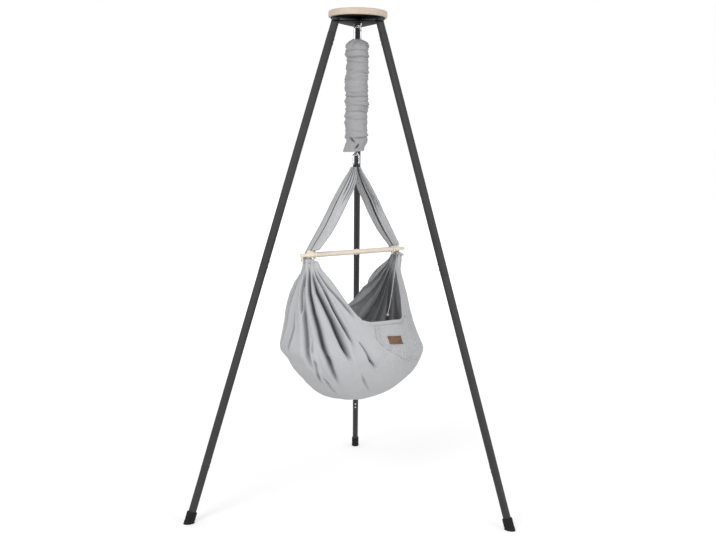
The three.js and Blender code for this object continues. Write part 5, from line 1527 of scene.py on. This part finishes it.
# Drawstring and cord ends. White laid cord hangs from the right gather with a
# beech bead on its end, and two short ends of the left tie hang free.
cordRadius, cordStep = 0.00175, 0.001
drawstring = drawn_through([
    (0.226, -0.002, 0.9617), (0.226, -0.003, 0.945), (0.222, -0.004, 0.915),
    (0.216, -0.003, 0.880), (0.211, -0.002, 0.845), (0.206, -0.001, 0.810),
    (0.199, 0, 0.770), (0.191, 0, 0.738), (0.186, 0, 0.720),
], cordStep)
tails = [[
    (-0.262, -0.0022, 0.975), (-0.264, -0.005, 0.962), (-0.268, -0.008, 0.948),
    (-0.274, -0.010, 0.932), (-0.281, -0.011, 0.916),
], [
    (-0.262, 0.0022, 0.975), (-0.265, 0.005, 0.960), (-0.270, 0.007, 0.945),
    (-0.275, 0.008, 0.930), (-0.279, 0.009, 0.920),
]]
beadHeight, beadRadius, beadFlat, beadBore = 0.7143, 0.006, 0.0048, 0.0021
bead = bmesh.new()
arc = [math.asin(beadFlat / beadRadius) * (i / 8 - 1) for i in range(17)]
swell = [(beadRadius * math.cos(a), beadRadius * math.sin(a)) for a in arc]
spun(bead, [(beadBore, -beadFlat), *swell, (beadBore, beadFlat)], 40, closed=True)
soften(bead, 0.0003, 2, 0.9)
spot = Matrix.Translation((0.186, 0, beadHeight))
bead = as_piece("bead_beech", bead, barBeech, "cradle", "beech", "bead",
                place=hanging @ spot, sharpest=0.9)
cords = [("drawstring", drawstring, "tool", [bead])]
for count, route in enumerate(tails, 1):
    cords.append((f"cord_tail_{count}", drawn_through(route, cordStep), "bare", []))
for name, line, far_end, on_it in cords:
    cord = bmesh.new()
    laid_cord(cord, line, cordRadius)
    piece = as_piece(f"{name}_cord", cord, whiteCord, "cradle", "white_cord", name,
                     place=hanging, sharpest=1.2)
    route = [hanging @ point for point in line]
    length = sum((b - a).length for a, b in zip(route, route[1:]))

# Floor: plain white, with the stand's soft shadow. Its own glow makes up for the
# lamps' light, which falls off away from the spot in front of the stand.
def seen_straight(tree):
    """1 for rays that show a surface itself, 0 for those that only light others."""
    path = tree.nodes.new("ShaderNodeLightPath")
    total = path.outputs["Is Camera Ray"]
    for kind in ("Is Glossy Ray", "Is Transmission Ray"):
        either = tree.nodes.new("ShaderNodeMath")
        either.operation = "MAXIMUM"
        tree.links.new(total, either.inputs[0])
        tree.links.new(path.outputs[kind], either.inputs[1])
        total = either.outputs[0]
    return total


def blended(tree, share, first, second, surface):
    """Shows a share of a second shader in place of a first on a surface."""
    both = tree.nodes.new("ShaderNodeMixShader")
    for source, socket in zip((share, first.outputs[0], second.outputs[0]), both.inputs):
        tree.links.new(source, socket)
    tree.links.new(both.outputs[0], surface.inputs["Surface"])


floorWhite, floorHalf = (0.9, 0.9, 0.9, 1), 30
brightestSpot = (-0.3, -1.0, 0)
glowStrength, glowShare, glowRise, mostGlow = 2.4, 0.155, 0.037, 0.4
plainWhite = Finish("white floor", Base_Color=floorWhite, Roughness=0.9, Specular_IOR_Level=0.1)
away = plainWhite.node(
    "VectorMath", {"operation": "DISTANCE"}, plainWhite.place(), brightestSpot, output="Value"
)
share = (away * glowRise + glowShare).reckon("MINIMUM", mostGlow)
seen = Value(plainWhite, seen_straight(plainWhite.tree))
glow = plainWhite.tree.nodes.new("ShaderNodeEmission")
glow.inputs["Strength"].default_value = glowStrength
blended(plainWhite.tree, (seen * share).socket, plainWhite.shader, glow,
        plainWhite.tree.nodes["Material Output"])
floor = bmesh.new()
bmesh.ops.create_grid(floor, x_segments=1, y_segments=1, size=floorHalf)
as_object("floor", floor, plainWhite)

# Studio: a white backdrop that lights the stand more softly than it looks, a wide
# lamp in front on the left and above, and a weaker and wider one on the right.
world = bpy.data.worlds.new("studio")
scene.world = world
world.use_nodes = True
tree = world.node_tree
tree.nodes.clear()
backdropLights, backdropShows = 0.58, 1.0
soft, plain = (tree.nodes.new("ShaderNodeBackground") for _ in range(2))
for background, strength in ((soft, backdropLights), (plain, backdropShows)):
    background.inputs["Color"].default_value = (1, 1, 1, 1)
    background.inputs["Strength"].default_value = strength
blended(tree, seen_straight(tree), soft, plain, tree.nodes.new("ShaderNodeOutputWorld"))


def lamp(name, place, target, size, power):
    """A round lamp of a width in metres and a power in watts, aimed at a target."""
    light = bpy.data.lights.new(name, "AREA")
    light.shape, light.size, light.energy = "DISK", size, power
    holder = bpy.data.objects.new(name, light)
    aim = (Vector(target) - Vector(place)).to_track_quat("-Z", "Y")
    holder.matrix_world = Matrix.Translation(place) @ aim.to_matrix().to_4x4()
    scene.collection.objects.link(holder)


lamp("key lamp", (-1.7, -3.6, 2.9), target=(0, -0.17, 0.9), size=1.6, power=58)
lamp("fill lamp", (2.8, -3.0, 1.6), target=(0, -0.17, 0.8), size=2.4, power=38)
